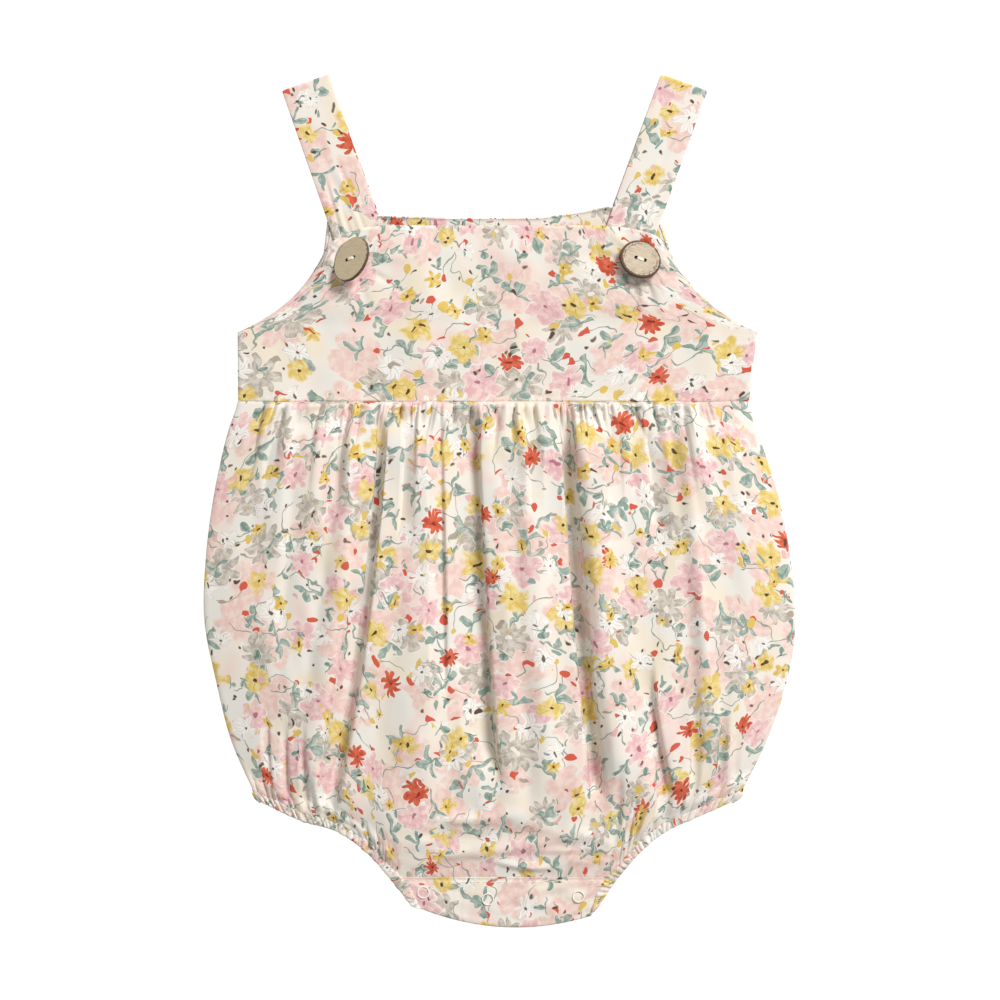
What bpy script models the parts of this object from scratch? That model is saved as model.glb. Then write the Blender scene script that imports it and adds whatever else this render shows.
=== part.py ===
"""A baby's sleeveless bubble romper in printed cotton, laid flat on its back.

Metres. +X is to the right as it lies, +Y runs up the garment to the shoulder straps and +Z is up,
off the table. The origin is the middle of the garment, on the table.

Two layers lie on each other. The back yoke and the back bubble rest on the table, the front ones lie
on them, and the side seams join the two along their edges. Each strap starts at the back yoke, turns
over at the shoulder and comes down under the front yoke, where a coconut button holds it. An elastic
casing finishes each leg opening, and the crotch closes with two plackets and three press snaps.
"""
import math
from collections import namedtuple

import bmesh
import bpy
from mathutils import Matrix, Vector

MM = 0.001

# ---- Driving dimensions -------------------------------------------------------------------------

WALL = 1.2 * MM             # the poplin with its turned edges, drawn as one wall
GAP = 0.3 * MM              # from one piece to the next

WAIST = 42.9 * MM           # height of the seam between yoke and bubble
UNDERARM = 74.0 * MM        # where an armhole meets its side seam
UNDERARM_LEFT, UNDERARM_RIGHT = -115.3 * MM, 113.0 * MM
ARMHOLE_BEND = 0.71, 0.33   # where an armhole bends, as shares of its width and height

CASING_WIDTH = 4.4 * MM     # elastic casing round each leg opening
CASING_THICK = 1.6 * MM
LEG_RISE = 4                # how late a side seam climbs to the height of the casing: a power
CASING_TURN = 1.8 * MM      # room at the side corner, where a casing turns from front to back
PLACKET_LEFT, PLACKET_RIGHT = -42.5 * MM, 45.5 * MM    # top corners of the crotch plackets
PLACKET_TOP = -165.0 * MM   # height of those corners
HEM_CENTRE, HEM_LOW = 7.0 * MM, -187.3 * MM    # lowest point of the crotch hem
HEM_RADIUS = 106.0 * MM     # the hem's curve at that point

YOKE_REACH, YOKE_SLOPE = 10 * MM, 14 * MM    # how wide the front yoke lies raised round a strap end
BACK_SHOWS = 1.0 * MM       # how far the back yoke shows beside the front one, at the armhole's top

STRAP_WIDTH = 21.8 * MM
STRAP_FOLD_DROP = 1.35 * MM  # the turned-over end stands this far past the last straight section
STRAP_END = 97.0 * MM       # height where the front run ends, under the yoke
STRAP_SPLAY = math.radians(0.4)    # how much more the back run leans than the front run

BUTTON_THICK = 2.0 * MM
BUTTON_BEVEL = 0.35 * MM
THREAD_HOLE_RADIUS = 0.85 * MM
THREAD_HOLE_SPACING = 4.0 * MM

SNAP_RING_RADIUS = 2.7 * MM    # outer radius of a snap's prong ring
SNAP_RING_WIDTH = 0.5 * MM
SNAP_RING_THICK = 0.5 * MM
SNAP_STUD_RADIUS = 3.6 * MM    # stud and socket, pressed together between the plackets
SNAP_STUD_THICK = 1.6 * MM

# Undersides of the layers, stacked up from the table.
BACK = 0.0
FRONT = BACK + WALL + GAP
OVER_STRAP = FRONT + WALL + GAP
BACK_PLACKET = SNAP_RING_THICK + GAP
SNAP_STUD = BACK_PLACKET + WALL + GAP
FRONT_PLACKET = SNAP_STUD + SNAP_STUD_THICK + GAP
FRONT_LEG = BACK + CASING_THICK + GAP + (CASING_THICK - WALL) / 2

# ---- Tables, in millimetres ---------------------------------------------------------------------

# Side seams of the bubble below the waist: distance from the middle to the left and to the right.
Side = namedtuple("Side", "height left right")
SIDES = (
    Side(42.9, 115.1, 109.4),
    Side(26.6, 120.6, 114.6),
    Side(0.0, 126.2, 122.8),
    Side(-26.2, 129.4, 127.8),
    Side(-52.6, 130.0, 130.0),
    Side(-79.0, 124.9, 126.2),
    Side(-105.4, 118.2, 117.3),
    Side(-126.5, 108.8, 106.8),
)

# Outer edge of the leg openings, from the side corner to the crotch hem.
Leg = namedtuple("Leg", "height left right")
LEGS = (
    Leg(-131.8, 106.3, 103.0),
    Leg(-140.4, 88.0, 83.5),
    Leg(-145.2, 72.0, 73.0),
    Leg(-153.8, 59.4, 62.2),
    Leg(-166.5, 47.8, 51.2),
    Leg(-178.0, 38.7, 43.4),
)

# Top edges of the yokes, from the left corner to the right corner.
Neck = namedtuple("Neck", "across height")
FRONT_NECK = (
    Neck(-76.6, 108.8),
    Neck(-73.2, 113.9),
    Neck(-66.4, 117.4),
    Neck(-54.6, 120.5),
    Neck(-30.0, 120.8),
    Neck(30.0, 120.8),
    Neck(50.0, 120.3),
    Neck(63.0, 118.2),
    Neck(70.4, 114.8),
    Neck(73.8, 109.8),
)
BACK_NECK = (
    Neck(-76.0, 122.6),
    Neck(-53.0, 125.2),
    Neck(-20.0, 124.2),
    Neck(18.0, 124.4),
    Neck(36.0, 127.0),
    Neck(48.0, 129.4),
    Neck(71.0, 121.6),
)

# Each strap: the middle of its fold at the shoulder, and how far it leans outwards.
Strap = namedtuple("Strap", "name across height lean")
STRAPS = (
    Strap("left", -85.6, 183.8, -19.3),
    Strap("right", 81.0, 183.8, 19.8),
)

# Each button: its middle and radius, how narrow it is towards its lowest edge, that edge and its row
# of holes as angles from the right hand side, and how far it tips. The shell is cut by hand, so no
# button is quite round. The left one lies half turned in its buttonhole.
Button = namedtuple("Button", "name across height radius narrow low_edge tip holes")
BUTTONS = (
    Button("left", -64.2, 105.1, 10.3, 0.84, 155.0, 40.0, 11.0),
    Button("right", 61.3, 105.3, 9.2, 0.90, 62.0, 14.0, -17.0),
)

# Each press snap on the crotch plackets.
Snap = namedtuple("Snap", "name across height")
SNAPS = (
    Snap("left", -33.6, -171.8),
    Snap("middle", -5.3, -174.8),
    Snap("right", 34.4, -173.6),
)

# Folds of a bubble panel: how far across they lie at the waist, half way down and at the leg
# openings, the heights between which they show, their half width, and their lift. A ridge lifts
# the cloth and a trough, with a negative lift, drops it.
Fold = namedtuple("Fold", "waist middle hem start end half_width lift")
FRONT_FOLDS = (
    Fold(30.5, 33.5, 38.7, 44, -128, 9.0, -5.8),
    Fold(-12.5, -7.0, 0.6, 44, -112, 9.0, -4.4),
    Fold(-50.5, -57.5, -76.0, 44, -130, 8.0, -4.2),
    Fold(60.0, 61.6, 73.5, -70, -134, 8.5, -3.6),
    Fold(88.0, 107.8, 120.0, 34, -14, 8.0, -1.8),
    Fold(45.3, 49.3, 52.0, 44, -8, 5.5, -2.0),
    Fold(58.0, 66.0, 70.0, 44, 2, 5.5, -1.7),
    Fold(-41.0, -44.0, -46.0, 44, -14, 5.5, -1.9),
    Fold(-26.4, -27.7, -28.0, 44, -26, 6.0, -1.6),
    Fold(12.3, 14.5, 16.0, 44, -12, 5.5, -1.8),
    Fold(-68.2, -77.0, -82.0, 44, -4, 6.0, -1.5),
    Fold(-99.0, -99.0, -92.0, -84, -138, 8.5, -2.0),
    Fold(94.0, 93.0, 88.0, -92, -138, 9.0, -1.8),
    Fold(39.6, 49.3, 58.0, 40, -116, 14.0, 2.4),
    Fold(11.0, 16.0, 20.0, 40, -120, 14.0, 1.8),
    Fold(-33.0, -31.0, -35.0, 40, -116, 16.0, 1.6),
    Fold(-60.5, -68.5, -85.0, 40, -126, 8.0, 1.8),
)
BACK_FOLDS = (
    Fold(-84.0, -92.0, -84.0, 40, -128, 9.0, 1.6),
    Fold(-57.0, -61.0, -58.0, 40, -100, 8.0, 1.2),
    Fold(-24.0, -27.0, -22.0, 40, -132, 9.0, 2.0),
    Fold(6.0, 5.0, 8.0, 40, -92, 8.0, 1.4),
    Fold(33.0, 38.0, 31.0, 40, -126, 9.0, 1.9),
    Fold(62.0, 70.0, 66.0, 40, -104, 8.0, 1.3),
    Fold(86.0, 95.0, 84.0, 40, -130, 9.0, 1.5),
)
FOLD_FADE = 26.0            # length over which a fold dies away at each end
PUFF = 6.0 * MM             # how far the front bubble stands off the back one, between its folds
PUFF_SOFTNESS = 1.2 * MM    # how softly the floor of a deep trough rounds off
EDGE_FADE = 0.12            # share of a panel's width and length over which that fades to its edges

# ---- Facets -------------------------------------------------------------------------------------

BUBBLE_ACROSS, LEG_ACROSS, BUBBLE_DOWN = 52, 17, 11
YOKE_ACROSS, SIDE_STEPS, ARMHOLE_STEPS = 26, 3, 6
PLACKET_ACROSS, PLACKET_DOWN = 14, 3
STRAP_STEPS, TURN_STEPS = 5, 6
CASING_STEPS = 13
BUTTON_STEPS, RING_STEPS, HOLE_STEPS = 32, 20, 12
CURVE_FINENESS = 12


# ---- Materials ----------------------------------------------------------------------------------

def finish(name, colour, roughness):
    material = bpy.data.materials.new(name)
    material.use_nodes = True
    shader = material.node_tree.nodes["Principled BSDF"]
    shader.inputs["Base Color"].default_value = (*colour, 1.0)
    shader.inputs["Roughness"].default_value = roughness
    return material


def bind_finishes():
    return {
        "front": finish("printed_poplin_front", (0.83, 0.74, 0.66), 0.85),
        "back": finish("printed_poplin_back", (0.76, 0.68, 0.60), 0.85),
        "trim": finish("printed_poplin_trim", (0.80, 0.66, 0.60), 0.85),
        "coconut": finish("coconut_shell", (0.42, 0.33, 0.22), 0.55),
        "snap": finish("white_snap", (0.86, 0.85, 0.82), 0.35),
    }


# ---- Curves and grids ---------------------------------------------------------------------------

def at(across, height, lift=0.0):
    """A point from millimetres across and up the garment, and metres off the table."""
    return Vector((across * MM, height * MM, lift))


def spaced(points, count):
    """count + 1 points at equal distances along the line through the given points."""
    lengths = [0.0]
    for start, end in zip(points, points[1:]):
        lengths.append(lengths[-1] + (end - start).length)
    found = []
    piece = 0
    for step in range(count + 1):
        wanted = lengths[-1] * step / count
        while piece < len(points) - 2 and lengths[piece + 1] < wanted:
            piece += 1
        share = (wanted - lengths[piece]) / (lengths[piece + 1] - lengths[piece])
        found.append(points[piece].lerp(points[piece + 1], min(share, 1.0)))
    return found


def smooth(points, count):
    """count + 1 points at equal distances along a Catmull-Rom curve through the given points."""
    fine = []
    last = len(points) - 1
    for i in range(last):
        start, end = points[i], points[i + 1]
        before, after = points[max(i - 1, 0)], points[min(i + 2, last)]
        for k in range(CURVE_FINENESS):
            t = k / CURVE_FINENESS
            rise = (end - before) * 0.5
            fall = (after - start) * 0.5
            fine.append(
                start * (2 * t**3 - 3 * t**2 + 1) + rise * (t**3 - 2 * t**2 + t)
                + end * (3 * t**2 - 2 * t**3) + fall * (t**3 - t**2)
            )
    fine.append(points[last])
    return spaced(fine, count)


def inset(path, distance, side):
    """The path moved sideways in the plane of the table: side is 1 for its left and -1 for its right."""
    moved = []
    for i, point in enumerate(path):
        along = (path[min(i + 1, len(path) - 1)] - path[max(i - 1, 0)]).normalized()
        moved.append(point + Vector((-along.y, along.x, 0)) * distance * side)
    return moved


def coons(bottom, top, left, right):
    """Rows of points that fill four edges, where bottom and top run across and the others run up."""
    rows = []
    for j, (start, end) in enumerate(zip(left, right)):
        v = j / (len(left) - 1)
        row = []
        for i, (low, high) in enumerate(zip(bottom, top)):
            u = i / (len(bottom) - 1)
            corners = bottom[0].lerp(bottom[-1], u).lerp(top[0].lerp(top[-1], u), v)
            row.append(start.lerp(end, u) + low.lerp(high, v) - corners)
        rows.append(row)
    return rows


def lifted(points, low, high=None):
    """The points with their height off the table running from low to high along the line."""
    high = low if high is None else high
    last = len(points) - 1
    return [Vector((p.x, p.y, low + (high - low) * i / last)) for i, p in enumerate(points)]


# ---- Solids -------------------------------------------------------------------------------------

def add_object(name, mesh, material):
    bmesh.ops.recalc_face_normals(mesh, faces=mesh.faces[:])
    data = bpy.data.meshes.new(name)
    mesh.to_mesh(data)
    mesh.free()
    data.materials.append(material)
    data.shade_smooth()
    data.set_sharp_from_angle(angle=math.radians(50))
    piece = bpy.data.objects.new(name, data)
    bpy.context.scene.collection.objects.link(piece)
    return piece


def add_sheet(name, rows, material):
    """A wall of cloth whose underside is the given rows of points."""
    mesh = bmesh.new()
    grid = [[mesh.verts.new(point) for point in row] for row in rows]
    for low, high in zip(grid, grid[1:]):
        for i in range(len(low) - 1):
            mesh.faces.new((low[i], low[i + 1], high[i + 1], high[i]))
    raised = bmesh.ops.extrude_face_region(mesh, geom=mesh.faces[:])
    tops = [element for element in raised["geom"] if isinstance(element, bmesh.types.BMVert)]
    bmesh.ops.translate(mesh, verts=tops, vec=(0, 0, WALL))
    return add_object(name, mesh, material)


def add_band(name, sections, material):
    """A closed band through sections that all have the same number of points."""
    mesh = bmesh.new()
    rings = [[mesh.verts.new(point) for point in section] for section in sections]
    for ring, following in zip(rings, rings[1:]):
        for i in range(len(ring)):
            k = (i + 1) % len(ring)
            mesh.faces.new((ring[i], ring[k], following[k], following[i]))
    mesh.faces.new(rings[0])
    mesh.faces.new(rings[-1])
    return add_object(name, mesh, material)


def band_section(outer, inner, up, profile):
    """One section across a band. The profile lists shares of its width and distances off its middle."""
    return [outer.lerp(inner, share) + up * distance for share, distance in profile]


def folded_sections(front, back, profile):
    """Sections of a band that runs along front to a fold and returns along back, underneath.

    Both runs are pairs of an outer and an inner point on the band's middle surface, and the fold
    joins the last pair of the front run to the first pair of the back run by a half turn.
    """
    up = Vector((0, 0, 1))
    sections = [band_section(outer, inner, up, profile) for outer, inner in front]
    fold_outer, fold_inner = front[-1]
    radius = (fold_outer.z - back[0][0].z) / 2
    edge = fold_inner - fold_outer
    outwards = Vector((edge.y, -edge.x, 0)).normalized()
    if outwards.dot(front[-2][0] - fold_outer) > 0:
        outwards.negate()
    for step in range(1, TURN_STEPS):
        angle = math.pi * step / TURN_STEPS
        spoke = outwards * math.sin(angle) + up * math.cos(angle)
        shift = spoke * radius - up * radius
        sections.append(band_section(fold_outer + shift, fold_inner + shift, spoke, profile))
    sections += [band_section(outer, inner, -up, profile) for outer, inner in back]
    return sections


# ---- Bubble: two gathered panels of one outline --------------------------------------------------

def faded(value, start, end, fade):
    """1 between start and end, falling smoothly to 0 at both over the fade."""
    inside = min(value - end, start - value) / fade
    inside = min(max(inside, 0.0), 1.0)
    return inside * inside * (3 - 2 * inside)


def fold_lift(folds, point):
    """The sum of all folds at a point, in metres."""
    across, height = point.x / MM, point.y / MM
    middle_height = (SIDES[0].height + SIDES[-1].height) / 2
    reach = SIDES[0].height - middle_height
    total = 0.0
    for fold in folds:
        t = (height - middle_height) / reach
        bend = (fold.waist + fold.hem) / 2 - fold.middle
        centre = fold.middle + (fold.waist - fold.hem) / 2 * t + bend * t * t
        away = abs(across - centre) / fold.half_width
        if away < 1.0:
            bell = (1 + math.cos(math.pi * away)) / 2
            total += fold.lift * bell * faded(height, fold.start, fold.end, FOLD_FADE)
    return total * MM


def leg_edge(side):
    """The outer edge of one leg opening, from the side corner to the crotch hem."""
    sign = -1 if side == "left" else 1
    return smooth([at(sign * getattr(row, side), row.height) for row in LEGS], CASING_STEPS)


def leg_line(side, distance):
    """The leg's edge moved inwards, ending on the side seam and on the crotch hem."""
    sign = -1 if side == "left" else 1
    line = inset(leg_edge(side), distance, -sign)
    corner = SIDES[-1]
    line[0] = at(sign * getattr(corner, side), corner.height - (CASING_WIDTH + GAP - distance) / MM)
    line[-1] = hem_point(line[-1].x - sign * GAP)
    return line


def hem_point(across):
    """A point of the crotch hem, which is a shallow arc."""
    rise = (across - HEM_CENTRE) ** 2 / (2 * HEM_RADIUS)
    return Vector((across, HEM_LOW + rise, 0))


def bubble_edges(front):
    """Bottom, top, left and right edges of a bubble panel, on its underside."""
    side_low = FRONT if front else BACK
    leg_low = FRONT_LEG if front else BACK
    crotch_low = FRONT_PLACKET if front else BACK_PLACKET
    legs = {}
    for side in ("left", "right"):
        line = [p for p in leg_line(side, CASING_WIDTH + GAP) if p.y > PLACKET_TOP + GAP]
        end = PLACKET_LEFT if side == "left" else PLACKET_RIGHT
        legs[side] = line + [Vector((end, PLACKET_TOP + GAP, 0))]
    left_leg = lifted(spaced(legs["left"], LEG_ACROSS), leg_low, crotch_low)
    crotch = spaced([legs["left"][-1], legs["right"][-1]], BUBBLE_ACROSS - 2 * LEG_ACROSS)
    right_leg = lifted(spaced(legs["right"][::-1], LEG_ACROSS), crotch_low, leg_low)
    bottom = left_leg + lifted(crotch, crotch_low)[1:] + right_leg[1:]
    waist = SIDES[0]
    ends = [at(-waist.left, waist.height, side_low), at(waist.right, waist.height, side_low)]
    top = spaced(ends, BUBBLE_ACROSS)
    edges = []
    for side, sign in (("left", -1), ("right", 1)):
        seam = smooth([at(sign * getattr(row, side), row.height) for row in SIDES[::-1]], BUBBLE_DOWN)
        rise = [(leg_low - side_low) * (1 - i / BUBBLE_DOWN) ** LEG_RISE for i in range(BUBBLE_DOWN + 1)]
        edges.append([Vector((p.x, p.y, side_low + lift)) for p, lift in zip(seam, rise)])
    return bottom, top, *edges


def add_bubble(front, material):
    rows = coons(*bubble_edges(front))
    for j, row in enumerate(rows):
        for i, point in enumerate(row):
            u, v = i / BUBBLE_ACROSS, j / BUBBLE_DOWN
            inwards = min(u, 1 - u, v, 1 - v) / EDGE_FADE
            ease = math.sin(min(inwards, 1.0) * math.pi / 2)
            lift = fold_lift(BACK_FOLDS, point) * ease
            if front:
                raised = PUFF + fold_lift(FRONT_FOLDS, point)
                lift += (raised + math.hypot(raised, PUFF_SOFTNESS)) / 2 * ease
            point.z += lift
    return add_sheet("front_bubble" if front else "back_bubble", rows, material)


# ---- Yokes --------------------------------------------------------------------------------------

def armhole(low, high):
    """The curve of one armhole, from the underarm up to the yoke's top corner."""
    across, up = ARMHOLE_BEND
    control = Vector((low.x + (high.x - low.x) * across, low.y + (high.y - low.y) * up, 0))
    curve = []
    for k in range(CURVE_FINENESS * 2 + 1):
        t = k / (CURVE_FINENESS * 2)
        curve.append(low.lerp(control, t).lerp(control.lerp(high, t), t))
    return spaced(curve, ARMHOLE_STEPS)


def yoke_sides():
    """Left and right edges of both yokes, from the waist up to the end of the armhole."""
    edges = []
    tops = (FRONT_NECK[0], FRONT_NECK[-1])
    lows = (-SIDES[0].left, SIDES[0].right)
    for low, underarm, top in zip(lows, (UNDERARM_LEFT, UNDERARM_RIGHT), tops):
        corner = Vector((underarm, UNDERARM, 0))
        seam = spaced([at(low, (WAIST + GAP) / MM), corner], SIDE_STEPS)
        edges.append(seam + armhole(corner, at(*top))[1:])
    return edges


def yoke_rows(left, right, top, underside):
    bottom = spaced([left[0], right[0]], YOKE_ACROSS)
    return coons(*(lifted(edge, underside) for edge in (bottom, top, left, right)))


def over_strap(point):
    """How far the front yoke is held up by a strap end: 1 over it, 0 well away from it."""
    nearest = 1.0
    for strap in STRAPS:
        fold = at(strap.across, strap.height)
        along = strap_direction(strap)
        offset = point - fold
        across = abs(offset.x * along.y - offset.y * along.x) - STRAP_WIDTH / 2
        beyond = STRAP_END - point.y
        away = (max(across, beyond, 0.0) - YOKE_REACH) / YOKE_SLOPE
        nearest = min(nearest, max(away, 0.0))
    return (1 + math.cos(math.pi * nearest)) / 2


def add_front_yoke(material):
    left, right = yoke_sides()
    rows = yoke_rows(left, right, smooth([at(*row) for row in FRONT_NECK], YOKE_ACROSS), FRONT)
    for row in rows:
        for point in row:
            point.z += (OVER_STRAP - FRONT) * over_strap(point)
    return add_sheet("front_yoke", rows, material)


def add_back_yoke(material):
    left, right = yoke_sides()
    left[-1].x -= BACK_SHOWS
    right[-1].x += BACK_SHOWS
    neck = [at(*row) for row in BACK_NECK]
    rows = yoke_rows(left + [neck[0]], right + [neck[-1]], spaced(neck, YOKE_ACROSS), BACK)
    return add_sheet("back_yoke", rows, material)


def back_neck_height(across):
    """Height of the back yoke's top edge at a place across it, in metres."""
    for start, end in zip(BACK_NECK, BACK_NECK[1:]):
        if across / MM <= end.across:
            break
    share = (across / MM - start.across) / (end.across - start.across)
    return (start.height + (end.height - start.height) * share) * MM


# ---- Straps -------------------------------------------------------------------------------------

def strap_direction(strap, splay=0.0):
    """Unit vector down a strap from its fold, in the plane of the table."""
    lean = math.radians(strap.lean)
    lean += math.copysign(splay, lean)
    return Vector((-math.sin(lean), -math.cos(lean), 0))


def run_down(start, along, height_at):
    """Where a line from start meets a height that depends on the place across."""
    across = start.x
    for _ in range(4):
        across = start.x + along.x / along.y * (height_at(across) - start.y)
    return Vector((across, height_at(across), 0))


def strap_run(strap, splay, lift, end_height):
    """Pairs of edge points from the fold to the end, on the middle surface of the strap."""
    square = strap_direction(strap)
    fold = at(strap.across, strap.height) + square * STRAP_FOLD_DROP
    half = Vector((square.y, -square.x, 0)) * STRAP_WIDTH / 2
    along = strap_direction(strap, splay)
    edges = []
    for start in (fold - half, fold + half):
        end = run_down(start, along, end_height)
        edges.append(lifted(spaced([start, end], STRAP_STEPS), lift))
    return list(zip(*edges))


def add_strap(strap, material):
    """A strap from the back yoke's edge up to its fold and down again, under the front yoke."""
    half = WALL / 2
    profile = ((0.0, -half), (0.0, half), (1.0, half), (1.0, -half))
    front = strap_run(strap, 0.0, FRONT + half, lambda across: STRAP_END)
    back = strap_run(strap, STRAP_SPLAY, BACK + half, lambda across: back_neck_height(across) + 2 * GAP)
    return add_band("strap_" + strap.name, folded_sections(front[::-1], back, profile), material)


# ---- Leg casings and crotch plackets --------------------------------------------------------------

def add_casing(side, material):
    """The elastic casing of one leg: its front run, a turn at the side seam, and its back run."""
    half = CASING_THICK / 2
    outer_edge, inner_edge = half * 0.3, half * 0.7
    profile = (
        (0.0, -outer_edge), (0.0, outer_edge), (0.18, half), (0.82, half),
        (1.0, inner_edge), (1.0, -inner_edge), (0.82, -half), (0.18, -half),
    )
    outer = leg_edge(side)
    inner = leg_line(side, CASING_WIDTH)
    for line in (outer, inner):
        line[0] = line[0] + (line[1] - line[0]).normalized() * CASING_TURN
    front_low, front_high = FRONT_LEG + WALL / 2, FRONT_PLACKET + WALL / 2
    back_low, back_high = BACK + half, BACK_PLACKET + WALL / 2
    front = list(zip(lifted(outer, front_low, front_high), lifted(inner, front_low, front_high)))
    back = list(zip(lifted(outer, back_low, back_high), lifted(inner, back_low, back_high)))
    return add_band("leg_casing_" + side, folded_sections(front[::-1], back, profile), material)


def add_placket(name, underside, material):
    left = [p for p in leg_line("left", CASING_WIDTH + 2 * GAP) if p.y < PLACKET_TOP - GAP]
    right = [p for p in leg_line("right", CASING_WIDTH + 2 * GAP) if p.y < PLACKET_TOP - GAP]
    left = spaced(([Vector((PLACKET_LEFT, PLACKET_TOP, 0))] + left)[::-1], PLACKET_DOWN)
    right = spaced(([Vector((PLACKET_RIGHT, PLACKET_TOP, 0))] + right)[::-1], PLACKET_DOWN)
    across = [left[0].x + (right[0].x - left[0].x) * i / PLACKET_ACROSS for i in range(PLACKET_ACROSS + 1)]
    bottom = [hem_point(x) for x in across]
    top = spaced([left[-1], right[-1]], PLACKET_ACROSS)
    edges = [lifted(edge, underside) for edge in (bottom, top, left, right)]
    return add_sheet(name, coons(*edges), material)


# ---- Buttons and snaps ----------------------------------------------------------------------------

def turned(profile, steps):
    """A mesh spun round Z from a profile of (radius, height) pairs that starts and ends off the axis."""
    mesh = bmesh.new()
    rim = [mesh.verts.new((radius, 0, height)) for radius, height in profile]
    edges = [mesh.edges.new(pair) for pair in zip(rim, rim[1:])]
    bmesh.ops.spin(
        mesh, geom=rim + edges, cent=(0, 0, 0), axis=(0, 0, 1), angle=math.tau, steps=steps, use_merge=True
    )
    bmesh.ops.remove_doubles(mesh, verts=mesh.verts[:], dist=0.001 * MM)
    return mesh


def add_cutter(name, radius, length, place):
    mesh = bmesh.new()
    bmesh.ops.create_cone(
        mesh, cap_ends=True, segments=HOLE_STEPS, radius1=radius, radius2=radius, depth=length
    )
    data = bpy.data.meshes.new(name)
    mesh.to_mesh(data)
    mesh.free()
    cutter = bpy.data.objects.new(name, data)
    bpy.context.scene.collection.objects.link(cutter)
    cutter.matrix_world = place
    cutter.hide_render = True
    cutter.display_type = "WIRE"
    return cutter


def add_button(button, material):
    """A slice of coconut shell with two holes for the thread."""
    radius = button.radius * MM
    middle = radius / 2
    profile = (
        (middle, 0.0),
        (radius - BUTTON_BEVEL, 0.0),
        (radius, BUTTON_BEVEL),
        (radius, BUTTON_THICK - BUTTON_BEVEL),
        (radius - BUTTON_BEVEL, BUTTON_THICK),
        (middle, BUTTON_THICK),
    )
    mesh = turned(profile, BUTTON_STEPS)
    bmesh.ops.holes_fill(mesh, edges=[e for e in mesh.edges if e.is_boundary], sides=0)
    bmesh.ops.scale(mesh, verts=mesh.verts[:], vec=(button.narrow, 1.0, 1.0))
    piece = add_object("button_" + button.name, mesh, material)
    bearing = math.radians(button.low_edge)
    low_way = Vector((math.cos(bearing), math.sin(bearing), 0))
    tip = math.radians(button.tip)
    lift = OVER_STRAP + WALL + GAP + radius * button.narrow * math.sin(tip)
    tipped = Matrix.Rotation(tip, 4, Vector((0, 0, 1)).cross(low_way))
    place = Matrix.Translation(at(button.across, button.height, lift)) @ tipped
    piece.matrix_world = place @ Matrix.Rotation(bearing, 4, "Z")
    row = Matrix.Rotation(math.radians(button.holes), 4, "Z")
    for number, offset in enumerate((-THREAD_HOLE_SPACING / 2, THREAD_HOLE_SPACING / 2)):
        spot = place @ row @ Matrix.Translation((offset, 0, BUTTON_THICK / 2))
        name = "thread_hole_" + button.name + str(number)
        cutter = add_cutter(name, THREAD_HOLE_RADIUS, BUTTON_THICK * 2, spot)
        hole = piece.modifiers.new(name, "BOOLEAN")
        hole.operation = "DIFFERENCE"
        hole.solver = "EXACT"
        hole.object = cutter
    return piece


def add_snap(snap, material):
    """The prong ring on each placket, and the stud and socket pressed together between them."""
    inner, outer, thick = SNAP_RING_RADIUS - SNAP_RING_WIDTH, SNAP_RING_RADIUS, SNAP_RING_THICK
    bevel = SNAP_RING_WIDTH * 0.3
    ring = (
        (inner, 0.0), (outer, 0.0), (outer, thick - bevel), (outer - bevel, thick),
        (inner + bevel, thick), (inner, thick - bevel), (inner, 0.0),
    )
    spots = (("snap_ring_front_", FRONT_PLACKET + WALL + GAP, 1), ("snap_ring_back_", SNAP_RING_THICK, -1))
    for prefix, height, way in spots:
        piece = add_object(prefix + snap.name, turned(ring, RING_STEPS), material)
        flip = Matrix.Rotation(0.0 if way > 0 else math.pi, 4, "X")
        piece.matrix_world = Matrix.Translation(at(snap.across, snap.height, height)) @ flip
    stud = bmesh.new()
    bmesh.ops.create_cone(
        stud, cap_ends=True, segments=RING_STEPS, radius1=SNAP_STUD_RADIUS, radius2=SNAP_STUD_RADIUS,
        depth=SNAP_STUD_THICK,
    )
    piece = add_object("snap_stud_" + snap.name, stud, material)
    piece.location = at(snap.across, snap.height, SNAP_STUD + SNAP_STUD_THICK / 2)


# ---- The garment --------------------------------------------------------------------------------

def main():
    for old in list(bpy.data.objects):
        bpy.data.objects.remove(old, do_unlink=True)
    finishes = bind_finishes()
    add_back_yoke(finishes["back"])
    add_bubble(False, finishes["back"])
    add_front_yoke(finishes["front"])
    add_bubble(True, finishes["front"])
    for strap in STRAPS:
        add_strap(strap, finishes["trim"])
    for side in ("left", "right"):
        add_casing(side, finishes["trim"])
    add_placket("back_crotch_placket", BACK_PLACKET, finishes["back"])
    add_placket("front_crotch_placket", FRONT_PLACKET, finishes["front"])
    for button in BUTTONS:
        add_button(button, finishes["coconut"])
    for snap in SNAPS:
        add_snap(snap, finishes["snap"])
    bpy.context.view_layer.update()


main()
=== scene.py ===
# %% [markdown]
# # A bubble romper in printed cotton
#
# A baby's sleeveless bodysuit, laid flat on its back and seen from straight above. The plain model
# that the simulator uses is loaded first and stays as the frame. Each sewn piece is then made again
# as a fine sheet of cloth, on the place and the form of its plain solid.

import math
import random
from collections import namedtuple
from functools import partial

import bmesh
import bpy
import numpy as np
from mathutils import Matrix, Vector


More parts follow.
